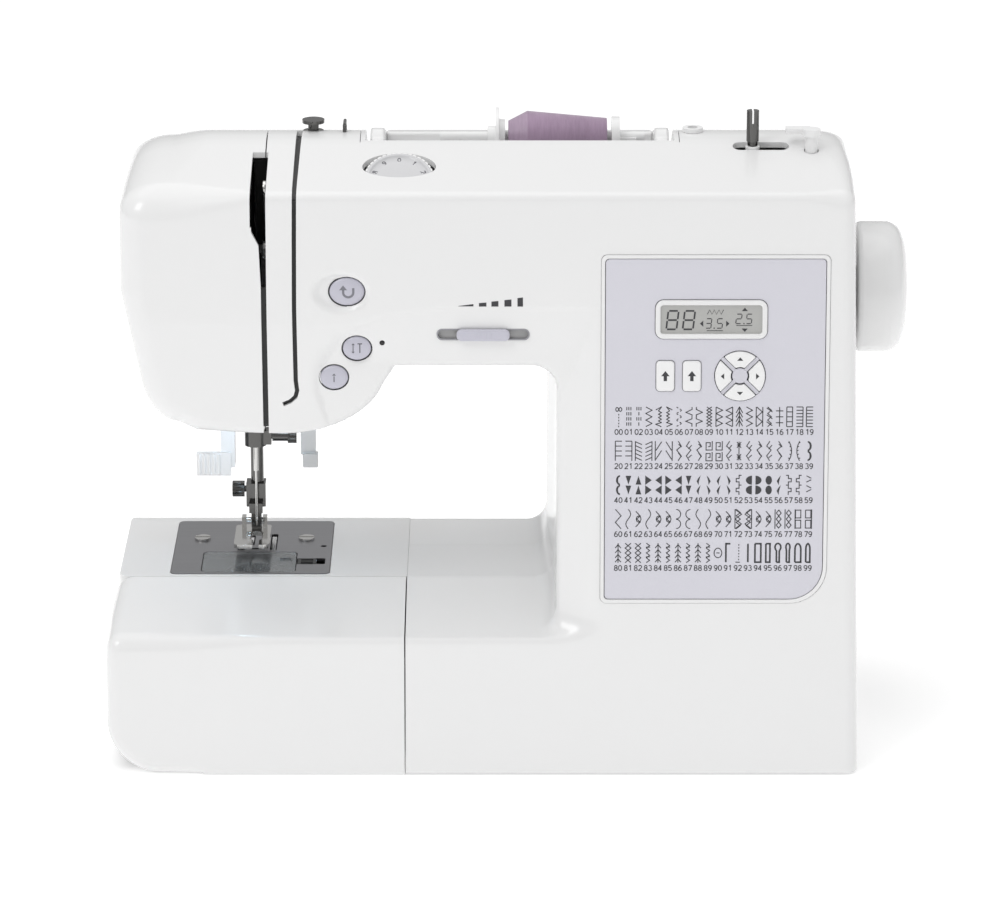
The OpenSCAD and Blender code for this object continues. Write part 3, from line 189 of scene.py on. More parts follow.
PLATE = finish_of("brushed_plate", rgb(150, (1.0, 1.0, 1.02)), 0.3, 1.0, tint=0.12, bump=0.16, grain=900.0,
                  stretch=(0.03, 1, 1))
CAST = finish_of("cast_alloy", rgb(150), 0.5, 0.9, bump=0.5, grain=700.0)
BRONZE = finish_of("sintered_bronze", rgb(178, (1.0, 0.86, 0.6)), 0.4, 1.0, bump=0.3)
# black plastic for the black parts; the same black also fills the slots behind the casing as painted shade
BLACK = finish_of("black_plastic_and_shade_fill", rgb(44), 0.4, tint=0.15, bump=0.1)
GREY_PART = finish_of("grey_plastic", rgb(150, (1.0, 1.0, 1.03)), 0.4, bump=0.1)
RUBBER = finish_of("rubber", rgb(58), 0.8, tint=0.15, bump=0.3)
BOARD = finish_of("board_green", rgb(96, (0.5, 1.0, 0.7)), 0.35, tint=0.2, bump=0.2)
MOTOR = finish_of("motor_paint", rgb(96), 0.45, 0.3, bump=0.25)
CLEAR = finish_of("clear_plastic", rgb(238, (0.97, 0.99, 1.0)), 0.06, tint=0.02, bump=0.0,
                  Transmission_Weight=0.9, IOR=1.49)
DIAL_GREY = finish_of("dial_translucent", rgb(206, (1.0, 1.0, 1.01)), 0.22, bump=0.05, Coat_Weight=0.3)
LCD_GREY = finish_of("lcd_glass", rgb(176, (1.0, 1.0, 0.985)), 0.14, bump=0.02, Coat_Weight=0.5,
                     Coat_Roughness=0.05)
# the strong tint, in bands stretched along the winding, is painted highlight and shade streaks over the
# thread's mauve
THREAD = finish_of("mauve_thread", rgb(176, (1.0, 0.87, 1.0)), 0.34, tint=0.42, bump=0.8, grain=900.0,
                   stretch=(3.2, 0.35, 0.35), Sheen_Weight=0.6, Sheen_Roughness=0.3)
MARK_GREY = finish_of("mark_grey", rgb(128, (1.0, 1.0, 1.06)), 0.5, tint=0.1)
# the same chrome as above, painted much darker: a painted reflection of dark surroundings on the bars
CHROME_PAINTED_DARK_REFLECTION = finish_of("chrome_painted_dark_reflection", rgb(98, (1.0, 0.995, 0.985)), 0.13, 1.0, bump=0.03,
                        stretch=(1, 1, 0.15))
LIGHT_GREY = finish_of("light_grey_plastic", rgb(206), 0.35, bump=0.06)
SLOT_GREY = finish_of("slot_grey", rgb(178), 0.5, bump=0.08)
LAMP_GLOW = finish_of("lamp_lens", rgb(236, (0.93, 0.98, 1.0)), 0.3, Emission_Color=(0.75, 0.9, 1.0, 1.0),
                      Emission_Strength=6.0)
FLOOR = finish_of("floor", rgb(252), 0.7, tint=0.006, bump=0.0, Emission_Color=(1, 1, 1, 1),
                  Emission_Strength=0.26)


# ---------------------------------------------------------------- mesh helpers
def new_object(name, mesh, body, *materials, smooth=True, angle=35.0):
    """Links a mesh as a piece that rides on a body, with smooth shading up to an angle."""
    obj = bpy.data.objects.new(name, mesh)
    scene.collection.objects.link(obj)
    for mat in materials:
        mesh.materials.append(mat)
    if smooth:
        mesh.shade_smooth()
        mesh.set_sharp_from_angle(angle=math.radians(angle))
    if body:
        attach(obj, body)
    return obj


def from_bmesh(bm, scale=MM):
    """A mesh in metres from a bmesh in millimetres."""
    bmesh.ops.recalc_face_normals(bm, faces=bm.faces)
    if scale != 1:
        bmesh.ops.scale(bm, vec=(scale,) * 3, verts=bm.verts)
    mesh = bpy.data.meshes.new("mesh")
    bm.to_mesh(mesh)
    bm.free()
    return mesh


def add_prism(bm, outline, low, high, place=None):
    """Adds a closed prism over a flat outline, between two heights."""
    rings = [[bm.verts.new((x, y, h)) for x, y in outline] for h in (low, high)]
    faces = [bm.faces.new(rings[0][::-1]), bm.faces.new(rings[1])]
    for i in range(len(outline)):
        j = (i + 1) % len(outline)
        faces.append(bm.faces.new((rings[0][i], rings[0][j], rings[1][j], rings[1][i])))
    if place is not None:
        bmesh.ops.transform(bm, matrix=place, verts=rings[0] + rings[1])
    return faces


def add_lathe(bm, profile, steps=64, place=None):
    """Adds a closed turned solid: profile holds (radius, height) points, and turns about Z."""
    rings = []
    for r, h in profile:
        if r < 1e-6:
            rings.append([bm.verts.new((0, 0, h))])
        else:
            turns = [2 * math.pi * i / steps for i in range(steps)]
            rings.append([bm.verts.new((r * math.cos(t), r * math.sin(t), h)) for t in turns])
    for low, high in zip(rings, rings[1:]):
        for i in range(steps):
            j = (i + 1) % steps
            ring = [low[i % len(low)], low[j % len(low)], high[j % len(high)], high[i % len(high)]]
            corners = []
            for v in ring:
                if v not in corners:
                    corners.append(v)
            if len(corners) > 2:
                bm.faces.new(corners)
    if place is not None:
        bmesh.ops.transform(bm, matrix=place, verts=[v for ring in rings for v in ring])


def face_place(x, z, out=0.0):
    """Frame on the front face: X right, Y up the face, Z outward, set out by a distance."""
    turn = Matrix.Rotation(math.pi / 2 - LEAN, 4, "X")
    return Matrix.Translation((x, fy(z), z)) @ turn @ Matrix.Translation((0, 0, out))


def oval(w, h, n=48):
    """An ellipse's outline."""
    return [(w / 2 * math.cos(2 * math.pi * i / n), h / 2 * math.sin(2 * math.pi * i / n)) for i in range(n)]


def slab(w, h, r, n=6):
    """A rounded rectangle's outline; r is one radius, or four from the upper right anticlockwise."""
    radii = r if isinstance(r, tuple) else (r,) * 4
    points = []
    for k, (sx, sy) in enumerate(((1, 1), (-1, 1), (-1, -1), (1, -1))):
        q = radii[k]
        for i in range(n + 1):
            a = math.pi / 2 * (k + i / n)
            points.append((sx * (w / 2 - q) + q * math.cos(a), sy * (h / 2 - q) + q * math.sin(a)))
    return points


def band(points, width):
    """Outline of a strip of one width along a line of points."""
    pts = [Vector(p) for p in points]
    left, right = [], []
    for i, p in enumerate(pts):
        run = (pts[min(i + 1, len(pts) - 1)] - pts[max(i - 1, 0)]).normalized()
        side = Vector((-run.y, run.x)) * width / 2
        left.append(tuple(p + side))
        right.append(tuple(p - side))
    return left + right[::-1]


def strokes(points, width):
    """Outlines of the strips along a line, broken and lapped where the line turns sharply."""
    pts = [Vector(p) for p in points]
    pts = [p for i, p in enumerate(pts) if i == 0 or (p - pts[i - 1]).length > 1e-6]
    runs, run = [], [pts[0]]
    for i in range(1, len(pts)):
        run.append(pts[i])
        last = i == len(pts) - 1
        if last or (pts[i] - pts[i - 1]).angle(pts[i + 1] - pts[i]) > 0.9:
            runs.append(run)
            run = [pts[i]]
    out = []
    for run in runs:
        lap = width * 0.4
        start = run[0] - (run[1] - run[0]).normalized() * (lap if run is not runs[0] else 0)
        stop = run[-1] + (run[-1] - run[-2]).normalized() * (lap if run is not runs[-1] else 0)
        out.append(band([start, *run[1:-1], stop], width))
    return out


def arc(cx, cy, rx, ry, a0, a1, n=24):
    """Points along an ellipse's arc, angles in degrees."""
    turns = [math.radians(a0 + (a1 - a0) * i / n) for i in range(n + 1)]
    return [(cx + rx * math.cos(t), cy + ry * math.sin(t)) for t in turns]


# ---------------------------------------------------------------- casing as a distance field
def poly_distance(poly, u, v):
    """Signed distance to a closed outline, negative inside."""
    best, sign = None, 1.0
    for (au, av), (bu, bv) in zip(poly, poly[1:] + poly[:1]):
        eu, ev, wu, wv = bu - au, bv - av, u - au, v - av
        t = np.clip((wu * eu + wv * ev) / (eu * eu + ev * ev + 1e-12), 0, 1)
        gap = (wu - eu * t) ** 2 + (wv - ev * t) ** 2
        best = gap if best is None else np.minimum(best, gap)
        up, down, side = v >= av, v < bv, eu * wv > ev * wu
        sign = np.where((up & down & side) | (~up & ~down & ~side), -sign, sign)
    return sign * np.sqrt(best)


class Outline:
    """A flat outline's distance, kept on a fine grid so that many points can be looked up fast."""

    def __init__(self, poly, low, high, pitch=0.5):
        self.low, self.pitch = np.array(low), pitch
        us = np.arange(low[0], high[0] + pitch, pitch)
        vs = np.arange(low[1], high[1] + pitch, pitch)
        self.grid = poly_distance(poly, us[:, None], vs[None, :]).astype(np.float32)

    def __call__(self, u, v):
        a = np.clip((u - self.low[0]) / self.pitch, 0, self.grid.shape[0] - 1.001)
        b = np.clip((v - self.low[1]) / self.pitch, 0, self.grid.shape[1] - 1.001)
        i, j = a.astype(int), b.astype(int)
        s, t, g = a - i, b - j, self.grid
        near = g[i, j] * (1 - s) + g[i + 1, j] * s
        far = g[i, j + 1] * (1 - s) + g[i + 1, j + 1] * s
        return near * (1 - t) + far * t


def round_max(r, *parts):
    """Meeting of solids with their shared edge rounded to radius r."""
    top, total = parts[0], np.maximum(parts[0] + r, 0) ** 2
    for p in parts[1:]:
        top = np.maximum(top, p)
        total = total + np.maximum(p + r, 0) ** 2
    return np.minimum(top, -r) + np.sqrt(total)


def step(v, a, b):
    """Smooth change from 0 at a to 1 at b."""
    t = np.clip((v - a) / (b - a), 0, 1)
    return t * t * (3 - 2 * t)


XZ, YZ = ((-230, -70), (290, 330)), ((-140, -70), (120, 330))
FRONT_OUT = Outline(
    [(270, -60), (270, 306), (-146.5, 306)]
    + arc(HEAD_L + 22, TOP - 26, 22, 26, 90, 180)
    + [(HEAD_L, ARM_Z + 36)]
    + arc(HEAD_L + 26, ARM_Z + 2, 18, 31, 195, 270)
    + [(NEEDLE_X - 24, HEAD_Z)]
    + arc(HEAD_R - 50, ARM_Z, 50, ARM_Z - HEAD_Z, 270, 345)
    + [(HEAD_R + 4, ARM_Z)]
    + arc(COL_X - 12, ARM_Z - 12, 12, 12, 90, 0)
    + [(COL_X, -60)], *XZ)
ROOF = [(-135, 265.3), (-60.2, 284.85)] + arc(-2, 238, 60, 60, 104, 40) + arc(28.6, 263.7, 20, 20, 40, 0)
ARM_SIDE = Outline([(-135, -65)] + ROOF + [(ARM_BACK, -65)], *YZ)
COLUMN_SIDE = Outline([(-135, -65)] + ROOF + [(ARM_BACK, 224), (COLUMN_BACK, 129), (COLUMN_BACK, -65)], *YZ)
BED_SIDE = Outline([(-135, -65), (-135, 57.1), (ARM_Y0, DECK)] + arc(BED_BACK - 14, DECK - 14, 14, 14, 90, 0)
                   + [(BED_BACK, -65)], *YZ)
BED_OUT = Outline([(280, -65), (280, 110), (LEFT + 9, 110), (LEFT + 4.5, 81), (LEFT + 1, 70), (LEFT, 56)]
                  + arc(LEFT + 26, 26.2, 26, 26, 170, 268) + [(LEFT + 44, 0.0), (LEFT + 60, -65)], *XZ)
RIGHT_OUT = Outline([(-400, -65), (170.2, -65), (CASE_R, CREST)] + arc(CASE_R - 14, CREST, 14, 14, 0, 90)
                    + [(120, 308), (-400, 308)], *XZ)
WING = Outline([(-88, -60), (-88.6, 168), (-91.5, 178), (-94, 187), (-94.2, 195), (-92.5, 202), (-88, 208.5),
                (-80.5, 215.4), (-71, 220.4), (-59, 224.2), (-45, 226.6), (-27, 227.8), (300, 227.8),
                (300, -60)], *XZ)


def casing_distance(x, y, z):
    """Signed distance to the whole white casing, with its soft edges; negative inside."""
    flare = 3.4 * step(y, -60, 45) * step(x, -30, 5)
    out = FRONT_OUT(x + flare, z)
    soft = 12.0 - 7.0 * step(x, -165, -110)
    arm = round_max(soft, out, ARM_SIDE(y, z))
    column = round_max(5.0, np.maximum(out, COL_X - flare - x), COLUMN_SIDE(y, z))
    upper = np.minimum(arm, column)
    # the sloping frame round the opening: column bevel, lower face of the arm, wing beside the buttons
    deep = 4.6 + 4.4 * step(x, 0.0, 24.0)
    slope = np.minimum(0.47 * (COL_X + 19.0 - x), 0.2 * (225.5 - z))
    slope = np.minimum(np.minimum(slope, -1.1 * WING(x, z)), deep)
    upper = round_max(2.5, upper, (fy(z) + slope - y) * 0.9)
    bed = round_max(6.5, BED_SIDE(y, z), BED_OUT(x, z))
    both = -round_max(10.0, -upper, -bed)
    tuck = 0.09 * np.maximum(222.0 - z, 0) * (1 - step(x, -75, -45)) * step(z, 120, 150)
    dish = np.sqrt(((x - REVERSE[0] + 3.2) / 14.0) ** 2 + ((z - REVERSE[1] + 0.4) / 9.8) ** 2)
    face = (fy(z) + tuck + 2.3 * step(1 - dish, 0.0, 0.32) - y) * math.cos(LEAN)
    edge = 12.0 - 9.5 * step(x, -165, -110) + 3.5 * step(x, 140, 158)
    edge = edge - 6.0 * (1 - step(z, 90, 150)) * (1 - step(x, -165, -110))
    return np.maximum(round_max(edge, both, face, RIGHT_OUT(x, z)), 0.6 - z)


def mesh_field(field, low, high, pitch, passes=3):
    """Closed quad mesh of a field's zero surface, with its corners moved onto that surface."""
    axes = [np.arange(a, b + pitch, pitch) for a, b in zip(low, high)]
    grid = field(axes[0][:, None, None], axes[1][None, :, None], axes[2][None, None, :])
    inside = grid < 0
    n = np.array(grid.shape)
    total, count = np.zeros((*(n - 1), 3), np.float32), np.zeros(tuple(n - 1), np.float32)
    for axis in range(3):
        others = [a for a in range(3) if a != axis]
        cut = [slice(None)] * 3
        cut[axis] = slice(0, -1)
        far = [slice(None)] * 3
        far[axis] = slice(1, None)
        a, b = grid[tuple(cut)], grid[tuple(far)]
        cross = inside[tuple(cut)] != inside[tuple(far)]
        share = np.where(cross, a / np.where(cross, a - b, 1), 0)
        for s in (0, 1):
            for t in (0, 1):
                pick = [slice(None)] * 3
                pick[others[0]] = slice(s, n[others[0]] - 1 + s)
                pick[others[1]] = slice(t, n[others[1]] - 1 + t)
                here = cross[tuple(pick)]
                count += here
                total[..., axis] += np.where(here, share[tuple(pick)], 0)
                total[..., others[0]] += here * s
                total[..., others[1]] += here * t
    live = count > 0
    number = np.full(live.shape, -1)
    number[live] = np.arange(live.sum())
    cells = np.argwhere(live)
    points = (cells + total[live] / count[live][:, None]) * pitch + np.array([a[0] for a in axes])
    quads = []
    for axis in range(3):
        b, c = (axis + 1) % 3, (axis + 2) % 3
        cut = [slice(1, -1)] * 3
        cut[axis] = slice(0, -1)
        far = list(cut)
        far[axis] = slice(1, None)
        here, there = inside[tuple(cut)], inside[tuple(far)]
        where = np.argwhere(here != there)
        outward = here[tuple(where.T)]
        at = where.copy()
        at[:, b] += 1
        at[:, c] += 1
        ring = []
        for s, t in ((-1, -1), (0, -1), (0, 0), (-1, 0)):
            cell = at.copy()
            cell[:, b] += s
            cell[:, c] += t
            ring.append(number[tuple(cell.T)])
        ring = np.stack(ring, 1)
        ring[~outward] = ring[~outward][:, ::-1]
        quads.append(ring)
    quads = np.concatenate(quads)
    for _ in range(passes):
        value = field(points[:, 0], points[:, 1], points[:, 2])
        slope = gradient(field, points)
        points = points - (value / np.maximum((slope**2).sum(1), 0.2))[:, None].clip(-pitch, pitch) * slope
    mesh = bpy.data.meshes.new("field")
    mesh.from_pydata((points * MM).tolist(), [], quads.tolist())
    return mesh


def gradient(field, points, h=0.7):
    """Slope of a field at many points."""
    out = np.zeros_like(points)
    for k in range(3):
        shift = np.zeros(3)
        shift[k] = h
        a, b = points + shift, points - shift
        out[:, k] = (field(a[:, 0], a[:, 1], a[:, 2]) - field(b[:, 0], b[:, 1], b[:, 2])) / (2 * h)
    return out


def carve(mesh, steps):
    """Cuts a closed mesh with closed cutters; each step is (operation, cutter mesh)."""
    obj = bpy.data.objects.new("carve", mesh)
    scene.collection.objects.link(obj)
    helpers = []
    for kind, cutter in steps:
        tool = bpy.data.objects.new("cutter", cutter)
        scene.collection.objects.link(tool)
        helpers.append(tool)
        mod = obj.modifiers.new("cut", "BOOLEAN")
        mod.operation, mod.object, mod.solver = kind, tool, "MANIFOLD"
    graph = bpy.context.evaluated_depsgraph_get()
    result = bpy.data.meshes.new_from_object(obj.evaluated_get(graph))
    for o in [obj, *helpers]:
        bpy.data.objects.remove(o)
    return result


def shade_by_field(mesh, field):
    """Gives faces on the field's surface the field's own smooth normals, and the cut faces flat ones."""
    n_v, n_l, n_f = len(mesh.vertices), len(mesh.loops), len(mesh.polygons)
    co = np.zeros(n_v * 3)
    mesh.vertices.foreach_get("co", co)
    co = co.reshape(-1, 3) / MM
    slope = gradient(field, co)
    slope /= np.maximum(np.linalg.norm(slope, axis=1), 1e-6)[:, None]
    near = np.abs(field(co[:, 0], co[:, 1], co[:, 2])) < 0.35
    flat = np.zeros(n_f * 3)
    mesh.polygon_normals.foreach_get("vector", flat)
    flat = flat.reshape(-1, 3)
    start, size = np.zeros(n_f, int), np.zeros(n_f, int)
    mesh.polygons.foreach_get("loop_start", start)
    mesh.polygons.foreach_get("loop_total", size)
    owner = np.repeat(np.arange(n_f), size)
    vert = np.zeros(n_l, int)
    mesh.loops.foreach_get("vertex_index", vert)
    normals = flat[owner].copy()
    good = near[vert] & ((slope[vert] * normals).sum(1) > 0.8)
    face_ok = np.ones(n_f, bool)
    np.logical_and.at(face_ok, owner, good)
    good = face_ok[owner]
    normals[good] = slope[vert][good]
    mesh.shade_smooth()
    mesh.normals_split_custom_set(normals.tolist())


def box_mesh(low, high):
    """A box cutter."""
    bm = bmesh.new()
    add_prism(bm, [(low[0], low[1]), (high[0], low[1]), (high[0], high[1]), (low[0], high[1])], low[2],
              high[2])
    return from_bmesh(bm)


def cutter(*prisms):
    """One cutter mesh from separate prisms, each (outline, low, high, place)."""
    bm = bmesh.new()
    for outline, low, high, place in prisms:
        add_prism(bm, outline, low, high, place)
    return from_bmesh(bm)


SIDE = Matrix.Rotation(math.pi / 2, 4, "X")  # an outline in X and Z, pushed along -Y
ACROSS = Matrix(((0, 0, 1, 0), (1, 0, 0, 0), (0, 1, 0, 0), (0, 0, 0, 1)))  # an outline in Y and Z, along X
solid = mesh_field(casing_distance, (-198, -93, -4), (174, 93, 302), 2.0)
hollow = mesh_field(lambda x, y, z: np.maximum(casing_distance(x, y, np.maximum(z, 12.0)) + WALL, -2.0 - z),
                    (-196, -91, -6), (172, 91, 300), 4.0, 1)
tub_hole = box_mesh((TUB[0] - 0.3, TUB[2] - 0.3, TUB[3] - 3), (TUB[1] + 0.3, 60, TOP + 10))
slot_outline = [(-122.2, 300), (-121.6, 266), (-118.2, 259.5), (-117.3, 240), (-116.9, 166), (-114.3, 166),
                (-114.7, 240), (-114.7, 300)]
slot2 = band([(-101, 300), (-101.4, 262), (-101.6, 230), (-101.2, 194), (-100.6, 189), (-101.4, 186),
              (-104.0, 183.6), (-107.4, 182.2)], 2.1)
front_cuts = cutter(
    (oval(17.7, 14.3), -9, 9, face_place(*REVERSE)),
    (oval(14.7, 12.7), -9, 9, face_place(*NEEDLE_B)),
    (oval(14.5, 12.7), -9, 9, face_place(*START)),
    (oval(2.6, 2.6, 20), -9, 9, face_place(*LED)),
    (slab(43.5, 5.0, 2.3), -9, 9, face_place(*SPEED)),
    (slab(PANEL[2] + 0.3, PANEL[3] + 0.3, (3, 3, 3, 18), 10), -9, 9, face_place(PANEL[0], PANEL[1])),
    (slot2, 40, 120, SIDE),
)
slot_cut = cutter((slot_outline, 44, 120, SIDE))
slot_top = cutter(([(-122.2, -66), (-114.7, -66), (-114.7, -24), (-122.2, -24)], 268, 306, None))
slot2_top = cutter(([(-102.3, -60), (-100.2, -60), (-99.2, 4), (-102.0, 4)], 270, 306, None))
dial_place = Matrix.Translation((DIAL[0], DIAL[1] - 5.3,
                                 CREST + (DIAL[1] - fy(CREST)) * math.tan(math.radians(14)) - 3.1))
dial_place = dial_place @ Matrix.Rotation(math.radians(30), 4, "X")
dial_hole = cutter((oval(36.6, 36.6, 72), -12, 0.4, dial_place))
dial_well = cutter((arc(0, 0, 17.6, 13, 0, 180) + arc(0, 0, 17.6, 9.5, 195, 345), 266, 310,
                    Matrix.Translation((DIAL[0], DIAL[1], 0))))
top_cuts = cutter(
    (slab(27, 7.6, 3.7), 280, 310, Matrix.Translation((WINDER[0] + 4, WINDER[1], 0))),
    (oval(7.2, 7.2, 32), 280, 310, Matrix.Translation((*STOP, 0))),
    (oval(8.4, 8.4, 32), 280, 310, Matrix.Translation((*AUX, 0))),
)
wheel_hole = cutter((oval(25, 25, 48), 140, 200,
                     Matrix(((0, 0, 1, 0), (1, 0, 0, NEEDLE_Y), (0, 1, 0, SHAFT_Z), (0, 0, 0, 1)))))
under_head = box_mesh((NEEDLE_X - 34, NEEDLE_Y - 16, HEAD_Z - 6), (NEEDLE_X + 40, NEEDLE_Y + 31, HEAD_Z + 6))
lifter_gap = box_mesh((NEEDLE_X + 3.9, 30, HEAD_Z - 5), (NEEDLE_X + 12.4, 60, ARM_Z - 6))
socket_hole = box_mesh((CASE_R - 10, -10.3, 20.7), (CASE_R + 20, 58.3, 55.3))
bed_mouth = box_mesh((SEAM_X - 5, ARM_Y0 + 10, 25), (SEAM_X + 6, BED_BACK - 8, DECK - 6))
drop_gap = box_mesh((SEAM_X + 24, 60, 32), (SEAM_X + 46, 80, 42))
cutter_notch = box_mesh((LEFT, -60, ARM_Z - 19), (HEAD_L + 16, -18, ARM_Z - 11))


def casing_piece(name, mesh, body, node):
    """A carved part of the casing as a white piece that stands for its CAD node."""
    mesh.materials.clear()
    mesh.materials.append(WHITE)
    shade_by_field(mesh, casing_distance)
    piece = new_object(name, mesh, body, smooth=False)
    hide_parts(node)


def shell(name, node, region, cuts):
    """One cover: the casing kept inside a region, hollowed and cut."""
    steps = [("INTERSECT", region), ("DIFFERENCE", hollow.copy())]
    steps += [("DIFFERENCE", c.copy()) for c in cuts]
    casing_piece(name, carve(solid.copy(), steps), "machine", node)


SEAM_HALF = 0.06  # half the seam drawn between the front and rear covers
covers_outline = [(SLOT_X + SEAM / 2, HEAD_Z - 20), (SEAM_X - 0.5, HEAD_Z - 20), (SEAM_X - 0.5, 0.9),
                  (200, 0.9), (200, 320), (SLOT_X + SEAM / 2, 320)]
shell("front_shell", "front_cover", cutter((covers_outline, -(SPLIT_Y - SEAM_HALF), 120, SIDE)),
      [front_cuts, slot_cut, slot_top, slot2_top, dial_hole, dial_well, tub_hole, top_cuts, wheel_hole,
       under_head, socket_hole, bed_mouth])
shell("rear_shell", "rear_cover", cutter((covers_outline, -120, -(SPLIT_Y + SEAM_HALF), SIDE)),
      [tub_hole, wheel_hole, under_head, lifter_gap, socket_hole, bed_mouth, drop_gap])
shell("head_end_shell", "face_cover", box_mesh((LEFT - 4, -120, HEAD_Z - 20), (SLOT_X - SEAM / 2, 120, 320)),
      [slot_cut, slot_top, under_head, cutter_notch])

tray_room = cutter(
    ([(-78.2, 3.2), (-79.6, 66), (-34, 74), (-25, 72), (-25, 26), (-30, 3.2)], -188, SEAM_X - SEAM - 2.6,
     ACROSS))
tray_under = box_mesh((-186, ARM_Y0, -3), (SEAM_X - 4, BED_BACK - 3, 18.8))
arm_room = box_mesh((LEFT - 5, ARM_Y0 - 0.01, 22 - 0.6), (SEAM_X + 5, 100, 120))
tray_mesh = carve(solid.copy(), [("INTERSECT", box_mesh((LEFT - 4, -120, 0.6), (SEAM_X - 1.15, 120, 120))),
                                 ("DIFFERENCE", arm_room), ("DIFFERENCE", tray_room),
                                 ("DIFFERENCE", tray_under)])
casing_piece("tray_shell", tray_mesh, "accessory_tray", "accessory_tray")


# ---------------------------------------------------------------- pieces on the front
def round_edges(obj, width, segments=2, angle=35):
    """Rounds a piece's edges and evens out its shading."""
    mod = obj.modifiers.new("edges", "BEVEL")
    mod.width, mod.segments = width * MM, segments
    mod.limit_method, mod.angle_limit = "ANGLE", math.radians(angle)
    obj.modifiers.new("shade", "WEIGHTED_NORMAL").keep_sharp = True


def prisms(name, body, mat, parts, edge=0.0):
    """One piece made of separate prisms, each (outline, low, high, place)."""
    bm = bmesh.new()
    for outline, low, high, place in parts:
        add_prism(bm, outline, low, high, place)
    obj = new_object(name, from_bmesh(bm), body, mat)
    if edge:
        round_edges(obj, edge)
    return obj


def ring_band(name, body, mat, outer, inner, low, high, place, edge=0.0):
    """A flat frame between two outlines that have the same number of points."""
    bm = bmesh.new()
    rings = [[bm.verts.new((x, y, h)) for x, y in outline] for outline, h in
             ((outer, low), (outer, high), (inner, high), (inner, low))]
    for a, b in zip(rings, rings[1:] + rings[:1]):
        for i in range(len(outer)):
            j = (i + 1) % len(outer)
            bm.faces.new((a[i], a[j], b[j], b[i]))
    bmesh.ops.transform(bm, matrix=place, verts=bm.verts)
    obj = new_object(name, from_bmesh(bm), body, mat)
    if edge:
        round_edges(obj, edge)
    return obj


def sector(r0, r1, middle, gap, n=10):
    """Outline of one quarter of a ring, with straight gaps between the quarters."""
    points = []
    for r, way in ((r1, 1), (r0, -1)):
        half = 45 - math.degrees(math.asin(gap / 2 / r))
        for i in range(n + 1):
            a = math.radians(middle + way * half * (2 * i / n - 1))
            points.append((r * math.cos(a), r * math.sin(a)))
    return points


def moved(outline, dx, dy, turn=0.0, scale=1.0):
    """An outline turned, scaled and shifted."""
    c, s = math.cos(math.radians(turn)), math.sin(math.radians(turn))
    return [(dx + scale * (c * x - s * y), dy + scale * (s * x + c * y)) for x, y in outline]


panel_at = face_place(PANEL[0], PANEL[1])
corners = (3.0, 3.0, 3.0, 18.0)
ring_band("panel_rim", "machine", WHITE, slab(PANEL[2], PANEL[3], corners, 12),
          slab(PANEL[2] - 3.6, PANEL[3] - 3.6, (2, 2, 2, 16.4), 12), -1.5, 0.55, panel_at, 0.35)
LCD_AT, RING_AT = (-2.0, 53.9), (RING[0] - PANEL[0], 26.5)
KEY_AT = [(k[0] - PANEL[0], 26.5) for k in KEYS]
plate_mesh = carve(cutter((slab(PANEL[2] - 4.2, PANEL[3] - 4.2, (1.8, 1.8, 1.8, 16.0), 12), -1.4, 0.0,
                           panel_at)), [
    ("DIFFERENCE", cutter(*[(moved(o, *at), -4, 3, panel_at) for o, at in (
        (slab(53.7, 19.3, 4.2), LCD_AT), (slab(9.3, 15.3, 1.9), KEY_AT[0]), (slab(9.3, 15.3, 1.9), KEY_AT[1]),
        (oval(24.6, 24.6, 64), RING_AT))]))])
plate_mesh.materials.clear()
plate = new_object("panel_plate", plate_mesh, "machine", LILAC, angle=20)
round_edges(plate, 0.12)
prisms("panel_backing", "machine", GREY_PART, [(slab(104, 166, 3), -3.9, -3.3, panel_at)])
prisms("ring_centre", "machine", LILAC, [(moved(oval(7.4, 7.4, 48), *RING_AT), -1.8, 0.0, panel_at)], 0.2)
prisms("ring_spokes", "machine", LILAC, [
    (moved(slab(24.2, 1.7, 0.3), *RING_AT, turn=a), -1.8, -0.25 - 0.01 * k, panel_at)
    for k, a in enumerate((45, 135))])
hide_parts("control_panel")

# display: white bezel, grey window, dark segments
ring_band("display_bezel", "machine", WHITE, moved(slab(53.1, 18.7, 4.0, 8), *LCD_AT),
          moved(slab(48.2, 13.8, 1.4, 8), *LCD_AT), -1.6, 1.0, panel_at, 0.55)
window = prisms("display_window", "machine", LCD_GREY,
                [(moved(slab(48.6, 14.2, 0.8), *LCD_AT), -1.6, -0.25, panel_at)])
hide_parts("display")
SEGMENTS = {"2": "abged", "3": "abgcd", "5": "afgcd", "8": "abcdefg"}


def segment_digit(char, x, y, w, h, t, slant=0.11):
    """Outlines of a seven-segment figure's lit segments."""
    a, b = w / 2, h / 2
    ends = {"a": ((-a, b), (a, b)), "b": ((a, b), (a, 0)), "c": ((a, 0), (a, -b)), "d": ((-a, -b), (a, -b)),
            "e": ((-a, 0), (-a, -b)), "f": ((-a, b), (-a, 0)), "g": ((-a, 0), (a, 0))}
    out = []
    for key in SEGMENTS[char]:
        p, q = Vector(ends[key][0]), Vector(ends[key][1])
        run = (q - p).normalized() * t * 0.55
        p, q = p + run, q - run
        out.append([(x + u + slant * v, y + v) for u, v in band([p, q], t)])
    return out


ux, uy = LCD_AT
marks = []
for char, dx, dy, w, h, t in (
        ("8", -18.5, -0.4, 4.9, 8.9, 0.8), ("8", -10.7, -0.4, 4.9, 8.9, 0.8),
        ("3", -1.3, -2.0, 2.5, 4.6, 0.42), ("5", 4.0, -2.0, 2.5, 4.6, 0.42),
        ("2", 13.0, 0.2, 2.5, 4.6, 0.42), ("5", 17.9, 0.2, 2.5, 4.6, 0.42)):
    marks += segment_digit(char, ux + dx, uy + dy, w, h, t)
marks += [moved(slab(0.6, 0.6, 0.2), ux + 1.3, uy - 4.3), moved(slab(0.6, 0.6, 0.2), ux + 15.4, uy - 2.1)]
marks += [moved(slab(7.6, 0.28, 0.1), ux + 1.6, uy - 5.5), moved(slab(7.6, 0.28, 0.1), ux + 15.6, uy - 3.0)]
arrow = [(-1.5, -0.75), (1.5, -0.75), (0, 0.9)]
